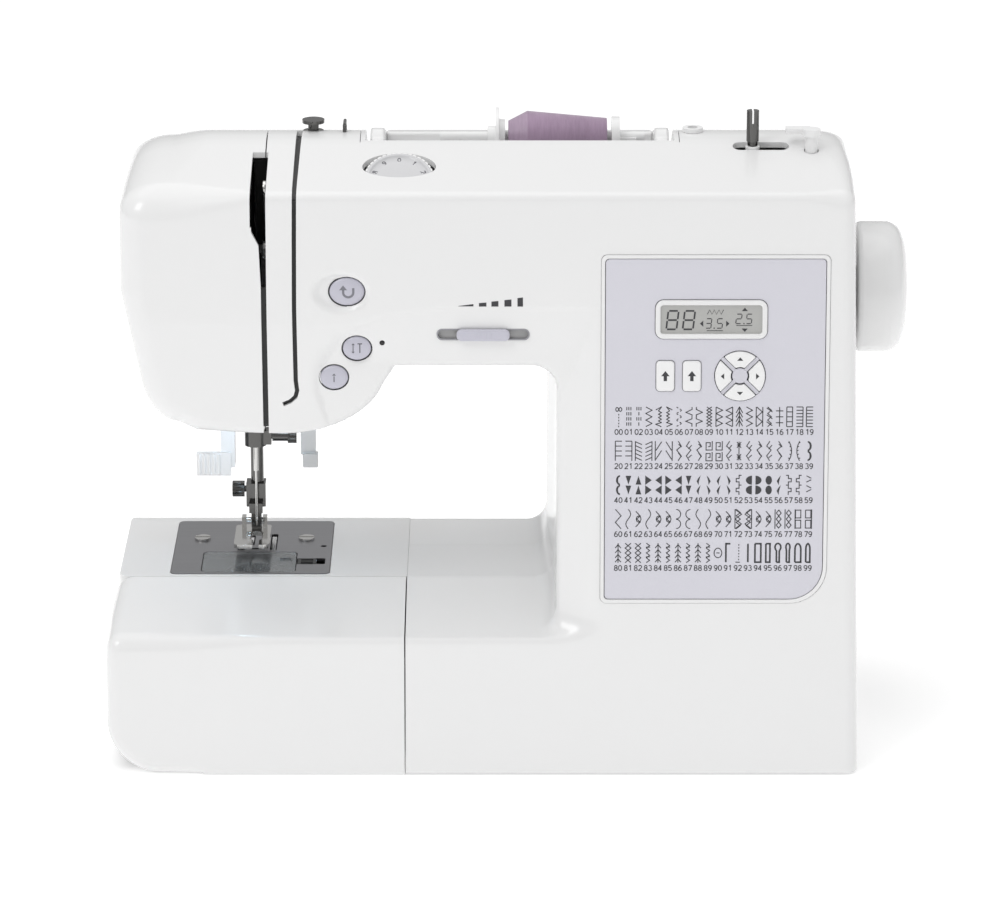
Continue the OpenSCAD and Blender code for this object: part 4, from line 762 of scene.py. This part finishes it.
for px, py, turn in ((-4.6, -2.1, 90), (7.7, -2.1, -90), (15.8, 4.7, 0), (15.8, -5.2, 180)):
    marks.append(moved(arrow, ux + px, uy + py, turn, 0.95))
marks.append(band([(ux - 2.0 + 1.1 * i, uy + (2.4 if i % 2 == 0 else 4.6)) for i in range(8)], 0.3))
prisms("display_marks", "machine", INK_DARK_AND_GAP_SHADE, [(m, -0.25, -0.15, panel_at) for m in marks])

# stitch keys and the ring of arrow keys
up_arrow = [(-0.8, -2.3), (0.8, -2.3), (0.8, 0.1), (2.0, 0.1), (0, 2.6), (-2.0, 0.1), (-0.8, 0.1)]
for body, at in zip(("key_left", "key_right"), KEY_AT):
    key = prisms(body + "_cap", body, KEY_WHITE, [(moved(slab(8.6, 14.6, 1.7, 8), *at), -1.7, 1.1, panel_at)],
                 0.55)
    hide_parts(body)
    prisms(body + "_mark", body, INK_DARK_AND_GAP_SHADE, [(moved(up_arrow, *at), 1.09, 1.14, panel_at)])
for body, way in (("key_next", 0), ("key_up", 90), ("key_back", 180), ("key_down", 270)):
    outline = moved(sector(4.4, 11.9, way, 2.5), *RING_AT)
    key = prisms(body + "_cap", body, KEY_WHITE, [(outline, -1.7, 1.0, panel_at)], 0.5)
    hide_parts(body)
    mark = moved(arrow, RING_AT[0] + 8.3 * math.cos(math.radians(way)), RING_AT[1]
                 + 8.3 * math.sin(math.radians(way)), way - 90, 0.98)
    prisms(body + "_mark", body, INK_DARK_AND_GAP_SHADE, [(mark, 0.99, 1.04, panel_at)])
for name, at in zip(("key_left_rim", "key_right_rim"), KEY_AT):
    ring_band(name, "machine", GREY_PART, moved(slab(9.25, 15.25, 1.85, 8), *at),
              moved(slab(8.8, 14.8, 1.7, 8), *at), -1.4, -0.3, panel_at)

# oval buttons, the speed slider and its marks
def cap(body, at, w, h, top):
    """A softly domed oval button on the front face, standing for its CAD node."""
    bm = bmesh.new()
    profile = [(0, top), (0.5, top - 0.06), (0.8, top - 0.25), (0.93, top - 0.55), (0.985, top - 1.0),
               (1, top - 1.6), (1, top - 6), (0, top - 6)]
    add_lathe(bm, profile, 56, face_place(*at) @ Matrix.Diagonal((w / 2, h / 2, 1, 1)))
    obj = new_object(body + "_cap", from_bmesh(bm), body, BUTTON, angle=60)
    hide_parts(body)


def recess(at):
    """How far the casing lies behind the plain leaning face at a place."""
    ys = np.arange(-4.0, 14.0, 0.05)
    value = casing_distance(np.full_like(ys, at[0]), fy(at[1]) + ys, np.full_like(ys, at[1]))
    return float(ys[np.argmax(value < 0)]) * math.cos(LEAN)


def ellipse_rim(name, at, w, h, wide, out):
    """A thin dark ring in the gap round a button: painted shade in the gap."""
    ring_band(name, "machine", INK_DARK_AND_GAP_SHADE, oval(w + wide, h + wide, 56), oval(w - 0.1, h - 0.1, 56), out - 1.2,
              out, face_place(*at))


button_top = {}
for name, at, w, h, rise, sink in (
        ("reverse_button", REVERSE, 16.8, 13.4, 1.0, 1.9),
        ("needle_button", NEEDLE_B, 13.6, 11.6, 0.9, recess((NEEDLE_B[0] + 8, NEEDLE_B[1]))),
        ("start_button", START, 13.4, 11.6, 0.9, recess((START[0], START[1] + 7.5)))):
    button_top[name] = rise - sink
    cap(name, at, w, h, rise - sink)
    # the dark ring in each button's gap is painted shade
    ellipse_rim(name + "_rim", at, w + 0.7, h + 0.7, 0.5, -sink - 0.1)


def button_mark(name, body, at, mat, outlines, rise=0.02):
    """A flat mark printed on a button's top."""
    top = button_top[body]
    prisms(name, body, mat, [(m, top - 0.1, top + rise, face_place(*at)) for m in outlines])


turn_mark = band([(-1.8, 1.0)] + arc(0.6, -0.4, 2.4, 2.2, 180, 360, 8) + [(3.0, 1.8)], 1.1)
arrow_tip = [(-3.7, 0.8), (0.1, 0.8), (-1.8, 3.1)]
needle_marks = [band([(-1.8, 1.8), (-1.8, -1.8)], 0.4), moved(arrow, -1.8, 2.0, 0, 0.5),
                moved(arrow, -1.8, -2.0, 180, 0.5), band([(1.4, 2.2), (1.4, -2.2)], 0.5),
                moved(slab(2.2, 0.5, 0.1), 1.4, 2.2)]
start_marks = [band([(0, 0.6), (0, -2.2)], 0.5), moved(arrow, 0, 1.4, 0, 0.6)]
button_mark("reverse_mark", "reverse_button", REVERSE, MARK_GREY, (turn_mark, arrow_tip), 0.03)
button_mark("needle_mark", "needle_button", NEEDLE_B, INK, needle_marks)
button_mark("start_mark", "start_button", START, INK, start_marks)
led_out = -recess((LED[0] + 2.5, LED[1]))
bm = bmesh.new()
add_lathe(bm, [(0, 0.1), (0.7, 0.0), (1.15, -0.35), (1.15, -4), (0, -4)], 24, face_place(*LED, led_out))
new_object("lamp_signal", from_bmesh(bm), "machine", BLACK, angle=60)
sink = recess((SPEED[0], SPEED[1] + 3.2))
speed_at = face_place(*SPEED)
prisms("speed_slot_floor", "machine", SLOT_GREY, [(slab(44.5, 6, 2.4), -3.4 - sink, -1.9 - sink, speed_at)])
ring_band("speed_slot_rim", "machine", GREY_PART, slab(44.1, 5.6, 2.6, 8), slab(42.7, 4.2, 1.9, 8),
          -1.6 - sink, 0.02 - sink, speed_at)
knob = prisms("speed_knob_cap", "speed_knob", BUTTON, [
    (slab(25.2, 5.7, 2.5, 8), 0.1 - sink, 3.0 - sink, speed_at),
    (slab(20, 3.6, 1.2), -2.2 - sink, -0.1 - sink, speed_at)], 1.1)
prisms("speed_knob_ribs", "speed_knob", BUTTON, [
    (moved(slab(0.7, 3.6, 0.3), x, 0), 2.9 - sink, 3.15 - sink, speed_at) for x in (-3.6, -1.2, 1.2, 3.6)],
       0.15)
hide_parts("speed_knob")
# wedges over the slider: left end, right end, foot, height at the right, fall towards the left
SPEED_WEDGES = (
    (-19.72, -12.60, 0.05, 1.12, 0.9),
    (-10.00, -6.44, -0.05, 1.90, 0.3),
    (-4.07, -0.75, -0.05, 2.63, 0.3),
    (2.10, 5.42, -0.05, 3.36, 0.3),
    (8.27, 10.88, -0.05, 4.33, 0.3),
)
wedges_at = face_place(-4.0, 230.6)
prisms("speed_marks", "machine", INK_DARK_AND_GAP_SHADE, [
    ([(left, foot), (right, foot), (right, top), (left, top - fall)], -0.3, 0.05, wedges_at)
    for left, right, foot, top, fall in SPEED_WEDGES])

# ---------------------------------------------------------------- stitch chart
FIGURES = {
    "0": [arc(0.5, 0.75, 0.42, 0.68, 0, 360, 12)], "1": [[(0.25, 1.15), (0.6, 1.45), (0.6, 0.05)]],
    "2": [arc(0.5, 1.05, 0.4, 0.4, 160, -30, 6) + [(0.1, 0.07), (0.92, 0.07)]],
    "3": [arc(0.48, 1.1, 0.36, 0.34, 150, -80, 6), arc(0.48, 0.42, 0.42, 0.38, 80, -150, 6)],
    "4": [[(0.9, 0.45), (0.1, 0.45), (0.68, 1.43), (0.68, 0.03)]],
    "5": [[(0.85, 1.42), (0.22, 1.42), (0.16, 0.8)] + arc(0.48, 0.47, 0.42, 0.42, 120, -150, 7)],
    "6": [arc(0.5, 0.45, 0.4, 0.4, 0, 360, 10), [(0.12, 0.5), (0.2, 1.0), (0.45, 1.36), (0.8, 1.38)]],
    "7": [[(0.1, 1.42), (0.9, 1.42), (0.4, 0.03)]],
    "8": [arc(0.5, 1.08, 0.34, 0.34, 0, 360, 9), arc(0.5, 0.4, 0.4, 0.37, 0, 360, 9)],
    "9": [arc(0.5, 1.02, 0.4, 0.4, 0, 360, 10), [(0.88, 0.97), (0.8, 0.45), (0.55, 0.1), (0.2, 0.09)]],
}


def figure(text, x, y, height, width=0.24):
    """Strokes of a number centred on a place."""
    k = height / 1.5
    out = []
    for i, char in enumerate(text):
        shift = x + (i - len(text) / 2) * 1.12 * k + 0.06 * k
        for line in FIGURES[char]:
            out += strokes([(shift + u * k, y + (v - 0.75) * k) for u, v in line], width * k)
    return out


def zigzag(n, w, x=0.0):
    """A zigzag up the icon: n turns, half width w, about x; the icon is 2 wide and 2 high."""
    return [(x + (w if i % 2 else -w), 1 - 2 * i / n) for i in range(n + 1)]


def rail(x):
    """One upright line of an icon."""
    return [(x, 1), (x, -1)]


def rungs(half, *heights):
    """Level lines of an icon, each from -half to half."""
    return [[(-half, y), (half, y)] for y in heights]


def icon(k):
    """Line work of one stitch: a list of lines in a box from -1 to 1, and filled shapes."""
    row, col = divmod(k, 20)
    lines, fills = [], []
    kind = (col * 7 + row * 3) % 12
    if row == 0:
        if col == 0:
            lines = [arc(-0.4, 0.75, 0.36, 0.2, 0, 360, 8), arc(0.4, 0.75, 0.36, 0.2, 0, 360, 8)]
            lines += [[(0, 0.3 - 0.3 * i), (0, 0.14 - 0.3 * i)] for i in range(5)]
        elif col in (1, 2):
            lines = [[(x, 1 - 0.52 * i), (x, 0.66 - 0.52 * i)] for i in range(4) for x in (-0.5, 0, 0.5)
                     if col == 1 or i % 2 == 0 or x == 0]
        elif col in (3, 13):
            lines = [zigzag(6, 0.75)]
        elif col in (4, 5):
            side = 1 if col == 4 else -1
            lines = [[(-0.8 * side, 0.7), (0.6 * side, 1)]
                     + [(0.6 * side * (1 if i % 2 else -0.2), 0.6 - 0.17 * i)
                     for i in range(8)] + [(-0.8 * side, -0.75), (0.6 * side, -1)]]
        elif col == 6:
            pts = zigzag(6, 0.7)
            for a, b in zip(pts, pts[1:]):
                lines += [[(a[0] + (b[0] - a[0]) * t, a[1] + (b[1] - a[1]) * t) for t in (s, s + 0.3)]
                          for s in (0.05, 0.6)]
        elif col in (7, 8):
            s = 1 if col == 8 else -1
            lines = [[(-0.7 * s, 1), (-0.7 * s, 0.75), (0.8 * s, 0.45), (-0.7 * s, 0.2), (-0.7 * s, -0.2),
                      (0.8 * s, -0.45), (-0.7 * s, -0.7), (-0.7 * s, -1)]]
        elif col == 9:
            lines = [zigzag(6, 0.6), [(-u, v) for u, v in zigzag(6, 0.6)]]
        elif col in (10, 11):
            s = 1 if col == 10 else -1
            lines = [rail(-0.8 * s), [(s * u, v) for u, v in zigzag(6, 0.8)]]
        elif col == 12:
            lines = [[(-0.8, y - 0.6), (0, y), (0.8, y - 0.6)] for y in (1, 0.55, 0.1, -0.35)] + [rail(0)]
        elif col == 14:
            lines = [zigzag(4, 0.7), rail(-0.8), rail(0.8)]
        elif col == 15:
            lines = [zigzag(6, 0.45)] + [[(-0.7, y), (0.7, y - 0.4)] for y in (0.9, 0.2, -0.5)]
        elif col == 16:
            lines = [rail(0)] + rungs(0.9, 0.6, 0, -0.6)
        elif col == 17:
            lines = [rail(-0.7), rail(0.7)] + rungs(0.7, 1, 0.5, 0, -0.5, -1)
        else:
            s = 1 if col == 18 else -1
            lines = [rail(s * 0.8)] + rungs(0.8, 1, 0.66, 0.33, 0, -0.33, -0.66, -1)
    elif row == 1:
        s = 1 if col % 2 else -1
        if col in (0, 1):
            lines = [rail(s * 0.8)] + rungs(0.8, 1, 0.5, 0, -0.5)
        elif col in (2, 3):
            lines = [rail(s * 0.8)] + [[(-0.8, y - 0.15 * s), (0.8, y + 0.15 * s)]
                                       for y in (0.8, 0.4, 0, -0.4, -0.8)]
        elif col in (4, 5):
            lines = [rail(s * 0.85)] + [[(s * 0.7, y - 0.4), (-s * 0.7, y + 0.5)] for y in (0.45, -0.45)]
        elif col in (9, 10):
            lines = [[(0.8, 1), (0.8, 0.1), (-0.7, 0.1), (-0.7, 0.85), (0.3, 0.85), (0.3, 0.45),
                      (-0.2, 0.45)],
                     [(0.8, -0.1), (0.8, -1), (-0.7, -1), (-0.7, -0.25), (0.3, -0.25), (0.3, -0.65),
                      (-0.2, -0.65)]]
        elif col == 12:
            lines = [[(0, 0.95), (0, 0.3)], [(0, -0.3), (0, -0.95)], [(0, 0.3), (0, -0.3)]]
            lines += [[(-0.5 * c, y - 0.3 * d), (0.5 * c, y + 0.3 * d)] for y in (0.62, -0.62)
                      for c, d in ((1, 0), (1, 1), (1, -1))]
        elif col == 19:
            for y in (0.5, -0.5):
                fills.append(arc(-0.4, y, 1.0, 0.52, 90, -90, 10) + arc(-0.4, y, 0.5, 0.36, -90, 90, 8))
        elif col in (17, 18):
            lines = [[(s * (0.6 - 0.7 * v * v), v) for v in (1, 0.6, 0.2, -0.2, -0.6, -1)]]
            lines += [[(s * (0.6 - 0.7 * v * v), v), (s * (0.2 - 0.7 * v * v), v + 0.1)]
                      for v in (0.8, 0.4, 0, -0.4, -0.8)]
        else:
            lines = [[(0.15 * s, 1), (-0.6 * s, 0.5), (0.5 * s, 0.1), (-0.6 * s, -0.5), (0.15 * s, -1)],
                     [(0.7, 0.6 * s), (-0.1, 0.2 * s)], [(0.7, -0.4 * s), (-0.1, -0.7 * s)]]
    elif row == 2:
        s = 1 if col % 2 else -1
        for y in (0.5, -0.5):
            if col == 0:
                fills.append(arc(0.4, y, 1.0, 0.52, 90, 270, 10) + arc(0.4, y, 0.5, 0.36, 270, 90, 8))
            elif col in (1, 2, 7):
                fills.append([(-0.7, y + 0.45 * s), (0.7, y + 0.45 * s), (0, y - 0.45 * s)])
            elif col in (3, 4, 5, 6):
                fills.append([(-0.8 * s, y + 0.48), (0.8 * s, y), (-0.8 * s, y - 0.48)])
            elif col in (13, 14):
                fills.append(arc(0.8 * s, y, 1.5, 0.46, 90 + (90 - 90 * s), 270 + (90 - 90 * s), 10))
            elif col == 15:
                fills.append(arc(0, y, 0.8, 0.46, 0, 345, 12))
            elif col in (17, 18, 12):
                lines.append([(-0.7 * s, y + 0.5), (-0.1 * s, y + 0.5), (-0.1 * s, y + 0.17),
                              (0.6 * s, y + 0.17), (0.6 * s, y - 0.17), (-0.1 * s, y - 0.17),
                              (-0.1 * s, y - 0.5)])
            elif col == 19:
                lines.append([(-0.6, y + 0.45), (0.6, y + 0.2)])
                lines.append([(0.6, y + 0.05), (-0.6, y - 0.2)])
            else:
                fills.append([(-0.5 * s, y + 0.5), (0.1 * s, y + 0.2), (0.5 * s, y - 0.1), (0.0, y - 0.5),
                              (-0.1 * s, y - 0.1), (-0.3 * s, y + 0.2)])
    elif row == 3:
        s = 1 if col % 2 else -1
        if col == 0:
            lines = [zigzag(3, 0.7)]
        elif col in (3, 1, 6, 7, 8, 9):
            lines = [[(0.6 * s * math.sin(v * 3.1), v)
                      for v in (1, 0.75, 0.5, 0.25, 0, -0.25, -0.5, -0.75, -1)]]
            if col in (6, 7):
                lines = [arc(0.5 * s, 0.5, 1.1, 0.48, 90, 90 + 180 * s, 8),
                         arc(0.5 * s, -0.5, 1.1, 0.48, 90, 90 + 180 * s, 8)]
        elif col in (12, 13):
            lines = [rail(0.8 * s), [(-s * u, v) for u, v in zigzag(4, 0.8)],
                     [(-s * u, v) for u, v in zigzag(6, 0.5)]]
        elif col in (16, 17):
            lines = [rail(-0.8)] + [[(-0.5, y), (0.1, y + 0.3), (0.7, y), (0.1, y - 0.3), (-0.5, y)]
                                    for y in (0.62, 0, -0.62)]
        elif col in (18, 19):
            lines = [rail(s * 0.8)]
            lines += [[(-0.7, y + 0.4), (0.6, y + 0.4), (0.6, y - 0.4), (-0.7, y - 0.4), (-0.7, y + 0.4)]
                      for y in (0.52, -0.52)]
        else:
            lines = [[(-0.6, 0.8), (0.5, 0.3), (-0.4, 0), (0.5, -0.3), (-0.6, -0.8)],
                     arc(0.1, 0, 0.6, 0.32, 0, 360, 8)]
    else:
        if col in (14, 15, 16, 17, 18, 19):
            w = 0.72 if col % 2 == 0 else 0.5
            if col in (14, 15):
                lines = [[(-w, 0.95), (w, 0.95), (w, -0.95), (-w, -0.95), (-w, 0.95)]]
            elif col in (16, 17):
                lines = [[(-0.35, -0.95), (-0.35, 0.2)] + arc(0, 0.6, w, 0.38, 215, -35, 9)
                         + [(0.35, 0.2), (0.35, -0.95), (-0.35, -0.95)]]
            else:
                lines = [[(-w, -0.95), (-w, 0.4)] + arc(0, 0.4, w, 0.55, 180, 0, 8)
                         + [(w, -0.95), (-w, -0.95)]]
        elif col == 11:
            lines = [[(0.6, 0.95), (-0.5, 0.95), (-0.5, -0.95)]]
        elif col == 13:
            lines = [[(0, 0.95), (0, -0.95)]]
        elif col == 12:
            lines = [[(0.2, 0.9 - 0.3 * i), (0.2, 0.75 - 0.3 * i)]
                     for i in range(6)] + [[(-0.6, -0.95), (0.5, -0.95)]]
        elif col == 10:
            lines = [arc(0, 0, 0.95, 0.5, 0, 360, 14), [(-0.4, 0), (0.4, 0)]]
        elif col in (1, 2):
            lines = [zigzag(4, 0.7), [(-u, v) for u, v in zigzag(4, 0.7)]]
        else:
            lines = [rail(0)] + [[(-0.7, y - 0.25), (0, y + 0.1), (0.7, y - 0.25)]
                                 for y in (0.75, 0.25, -0.25, -0.7)]
            if kind % 2:
                lines = [zigzag(8, 0.4)] + rungs(0.5, 0.6, -0.4)
    return lines, fills


CELL, CELL_TOP, ROW_DROP = 4.785, 6.6, 16.7  # chart: column pitch, first row's height, fall of each row
ICON = (1.95, 4.8)  # half width and half height of an icon
HEAVY = (11, 13, 14, 15, 16, 17, 18, 19)  # columns of the last row with heavy lines
fine, bold = [], []
for k in range(100):
    row, col = divmod(k, 20)
    cx, cy = -0.25 + (col - 9.5) * CELL, CELL_TOP - ROW_DROP * row
    lines, fills = icon(k)
    heavy = row == 4 and col in HEAVY
    for line in lines:
        drawn = strokes([(cx + ICON[0] * u, cy + ICON[1] * v) for u, v in line], 0.85 if heavy else 0.46)
        (bold if heavy else fine).extend(drawn)
    for fill in fills:
        bold.append([(cx + ICON[0] * u, cy + ICON[1] * v) for u, v in fill])
    fine.extend(figure("%02d" % k, cx, cy - 7.4, 2.75))
for name, marks, lift in (("stitch_chart", fine, 0.00002), ("stitch_chart_bold", bold, 0.0001)):
    prisms(name, "machine", INK_DARK_AND_GAP_SHADE, [(m, -0.02, 0.03 + lift * i, panel_at) for i, m in enumerate(marks)])

# ---------------------------------------------------------------- pieces on the top
dial_bm = bmesh.new()
lathe = [(0, -0.9), (10.5, -0.75), (13.6, -1.0), (14.2, -0.5), (14.7, -0.15), (15.6, -0.2), (16.3, -0.9),
         (16.5, -3.6), (0, -3.6)]
add_lathe(dial_bm, lathe, 96, dial_place)
dial = new_object("tension_dial_face", from_bmesh(dial_bm), "tension_dial", DIAL_GREY, angle=50)
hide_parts("tension_dial")
teeth = [(moved(slab(1.5, 2.2, 0.6), 15.9 * math.cos(a), 15.9 * math.sin(a), math.degrees(a)), -4.0, -0.35,
          dial_place)
         for a in [2 * math.pi * i / 40 for i in range(40)]]
prisms("tension_dial_grip", "tension_dial", WHITE, teeth, 0.2)
digits = []
for i in range(10):
    a = 90 - 360 * i / 10
    at = Vector((12.0 * math.cos(math.radians(a)), 12.0 * math.sin(math.radians(a))))
    digits += [moved(m, at.x, at.y, a - 90) for m in figure(str(i), 0, 0, 2.6)]
prisms("tension_dial_numbers", "tension_dial", INK, [(m, -1.1, -0.78, dial_place) for m in digits])

LYING = Matrix(((0, 0, 1, 0), (0, 1, 0, 0), (-1, 0, 0, 0), (0, 0, 0, 1)))  # a lathe's axis laid along X
low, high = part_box("thread_spool")
axis = (low + high) / 2 / MM
radius = (high.z - low.z) / 2 / MM
turns = 190
wound = [(2.9, 0.0), (radius * 0.62, 0.0)]
for i in range(turns * 2 + 1):
    u = i / (turns * 2)
    r = radius * (0.62 + 0.38 * (u / 0.19)) if u < 0.19 else radius * (1 - 0.28 * (u - 0.19) / 0.81)
    wound.append((r - (0.0 if i % 2 else 0.11), 0.2 + u * 47.6))
wound += [(2.9, 48.0)]
bm = bmesh.new()
add_lathe(bm, wound + [wound[0]], 72, Matrix.Translation((low.x / MM, axis.y, axis.z)) @ LYING)
bmesh.ops.remove_doubles(bm, verts=bm.verts, dist=1e-5)
spool = new_object("wound_thread", from_bmesh(bm), "thread_spool", THREAD, angle=80)
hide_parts("thread_spool")

# handwheel: a smooth drum with a rounded outer face
wheel = [(0, 23.4), (7.0, 23.4), (8.0, 23.9), (19.5, 24.0), (22.5, 23.5), (27.0, 21.9), (29.6, 20.2),
         (31.0, 17.9), (31.9, 15.6), (32.0, 12.0), (32.0, 2.6), (31.6, 1.0), (30.6, 0.1), (10.0, 0.0),
         (10.0, -8.0), (0, -8.0)]
bm = bmesh.new()
wheel_at = Matrix.Translation((CASE_R + 6, NEEDLE_Y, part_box("handwheel")[0].z / MM + 32.0))
add_lathe(bm, wheel, 128, wheel_at @ LYING)
wheel = new_object("wheel_drum", from_bmesh(bm), "upper_shaft", WHITE, angle=50)
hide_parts("handwheel")

# folding handle: two arms and a low bar behind the spool
arm = [(-10.6, 285), (-10.6, 292), (-9, 294), (-7, 294.5), (1.5, 294.6), (4.5, 297.6), (8, 298.3),
       (22, 294.6), (38, 289.6), (45, 288.2), (45.6, 287), (45.6, 280), (37, 280), (22, 286), (4, 289),
       (-4, 285)]
handle = prisms("handle_bail", "handle", WHITE, [
    (arm, -66.6, -59.5, ACROSS), (arm, 70.6, 77.6, ACROSS),
    ([(36.5, 280.4), (45.2, 280.4), (45.2, 288.0), (36.5, 288.8)], -59.6, 70.7, ACROSS)], 1.4)
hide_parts("handle")

# lamp under the head
lamp_at = Matrix.Translation((NEEDLE_X + 18, NEEDLE_Y - 12, HEAD_Z + 5))
lamp_at = lamp_at @ Matrix.Rotation(math.radians(-12), 4, "X")
prisms("lamp_lens", "machine", LAMP_GLOW, [(slab(16, 9, 2), -1.5, 0, lamp_at)], 0.5)
prisms("lamp_case", "machine", GREY_PART, [(slab(19, 12, 2.5), 0.0, 7, lamp_at)], 0.5)
# black blocks of the casing's inside behind the head slots and under the top slot: painted shade in the slots
slot_room = [(-118.4, 168), (-113.2, 168), (-113.2, 239), (-118.4, 239)]
side_slot = [(-101, 283), (-101.6, 230), (-101.2, 194), (-100.6, 189), (-101.4, 186), (-104.0, 183.6),
             (-108.4, 181.6)]
side_roof = [(-61, 268), (4.5, 284), (4.5, 310), (-61, 310)]
for name, outline, near, far, place in (
        ("slot_shade_fill", slot_room, 61.5, 100, SIDE),
        ("side_slot_shade_fill", band(side_slot, 4.6), 61.5, 100, SIDE),
        ("side_slot_roof", side_roof, -103.6, -97.6, ACROSS)):
    shade_fill = carve(hollow.copy(), [("INTERSECT", cutter((outline, near, far, place)))])
    shade_fill.materials.clear()
    new_object(name, shade_fill, "machine", BLACK)
# black walls and back in the lever slot: painted shade
prisms("lever_well", "machine", BLACK, [
    ([(-124.0, 240), (-123.0, 240), (-123.0, 276), (-124.0, 276)], 2, 57, SIDE),
    ([(-113.2, 240), (-112.2, 240), (-112.2, 276), (-113.2, 276)], 2, 57, SIDE),
    ([(-123.0, 238), (-113.2, 238), (-113.2, 284), (-123.0, 284)], -3, -1.6, SIDE)])
glow = bpy.data.lights.new("lamp_glow", "AREA")
glow.energy, glow.size, glow.color = 0.007, 0.012, (0.55, 0.78, 1.0)
glow_at = bpy.data.objects.new("lamp_glow", glow)
glow_at.location = (-0.131, -0.012, 0.163)
scene.collection.objects.link(glow_at)

# ---------------------------------------------------------------- CAD nodes that show as they are
def dress(mat, edge, *names):
    """Gives carried-over nodes a material, soft edges and even shading."""
    for name in names:
        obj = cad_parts[name]
        obj.data.materials.clear()
        obj.data.materials.append(mat)
        obj.data.shade_smooth()
        obj.modifiers.new("join", "WELD").merge_threshold = 2e-6
        if edge:
            mod = obj.modifiers.new("edges", "BEVEL")
            mod.width, mod.segments = edge * MM, 2
            mod.limit_method, mod.angle_limit = "ANGLE", math.radians(38)
        obj.modifiers.new("shade", "WEIGHTED_NORMAL").keep_sharp = True


dress(WHITE, 0.6, "free_arm_shell", "spool_tub")
dress(KEY_WHITE, 0.3, "winder_stop", "winder_slide", "second_pin_socket", "needle_threader", "spool_cap")
# these bars get the chrome painted darker: painted dark reflection
dress(CHROME_PAINTED_DARK_REFLECTION, 0.15, "needle_bar", "clamp_screw", "presser_bar", "foot_holder", "thumb_screw",
      "thread_guides", "winder_spindle")
dress(CHROME, 0.15, "take_up_lever", "presser_foot", "plate_screws")
dress(CHROME, 0.0, "needle")
dress(PLATE, 0.15, "needle_plate")
dress(CLEAR, 0.2, "bobbin_cover", "bobbin")
dress(BLACK, 0.25, "cover_latch", "bobbin_case", "socket_panel", "power_rocker", "base_plate", "lifter_lever")
dress(LIGHT_GREY, 0.4, "buttonhole_lever")
dress(RUBBER, 0.4, "rubber_feet", "drive_belts")
dress(STEEL, 0.1, "rotary_hook", "upper_shaft", "lower_shaft", "motor_shaft", "connecting_rod", "feed_dog")
dress(CAST, 0.3, "cast_frame")
dress(BRONZE, 0.1, "bushes")
dress(MOTOR, 0.3, "motor")
dress(BOARD, 0.0, "circuit_boards")
floor_mesh = bpy.data.meshes.new("floor")
floor_mesh.from_pydata([(-9, -9, 0), (9, -9, 0), (9, 12, 0), (-9, 12, 0)], [], [(0, 1, 2, 3)])
floor = new_object("floor", floor_mesh, None, FLOOR, smooth=False)
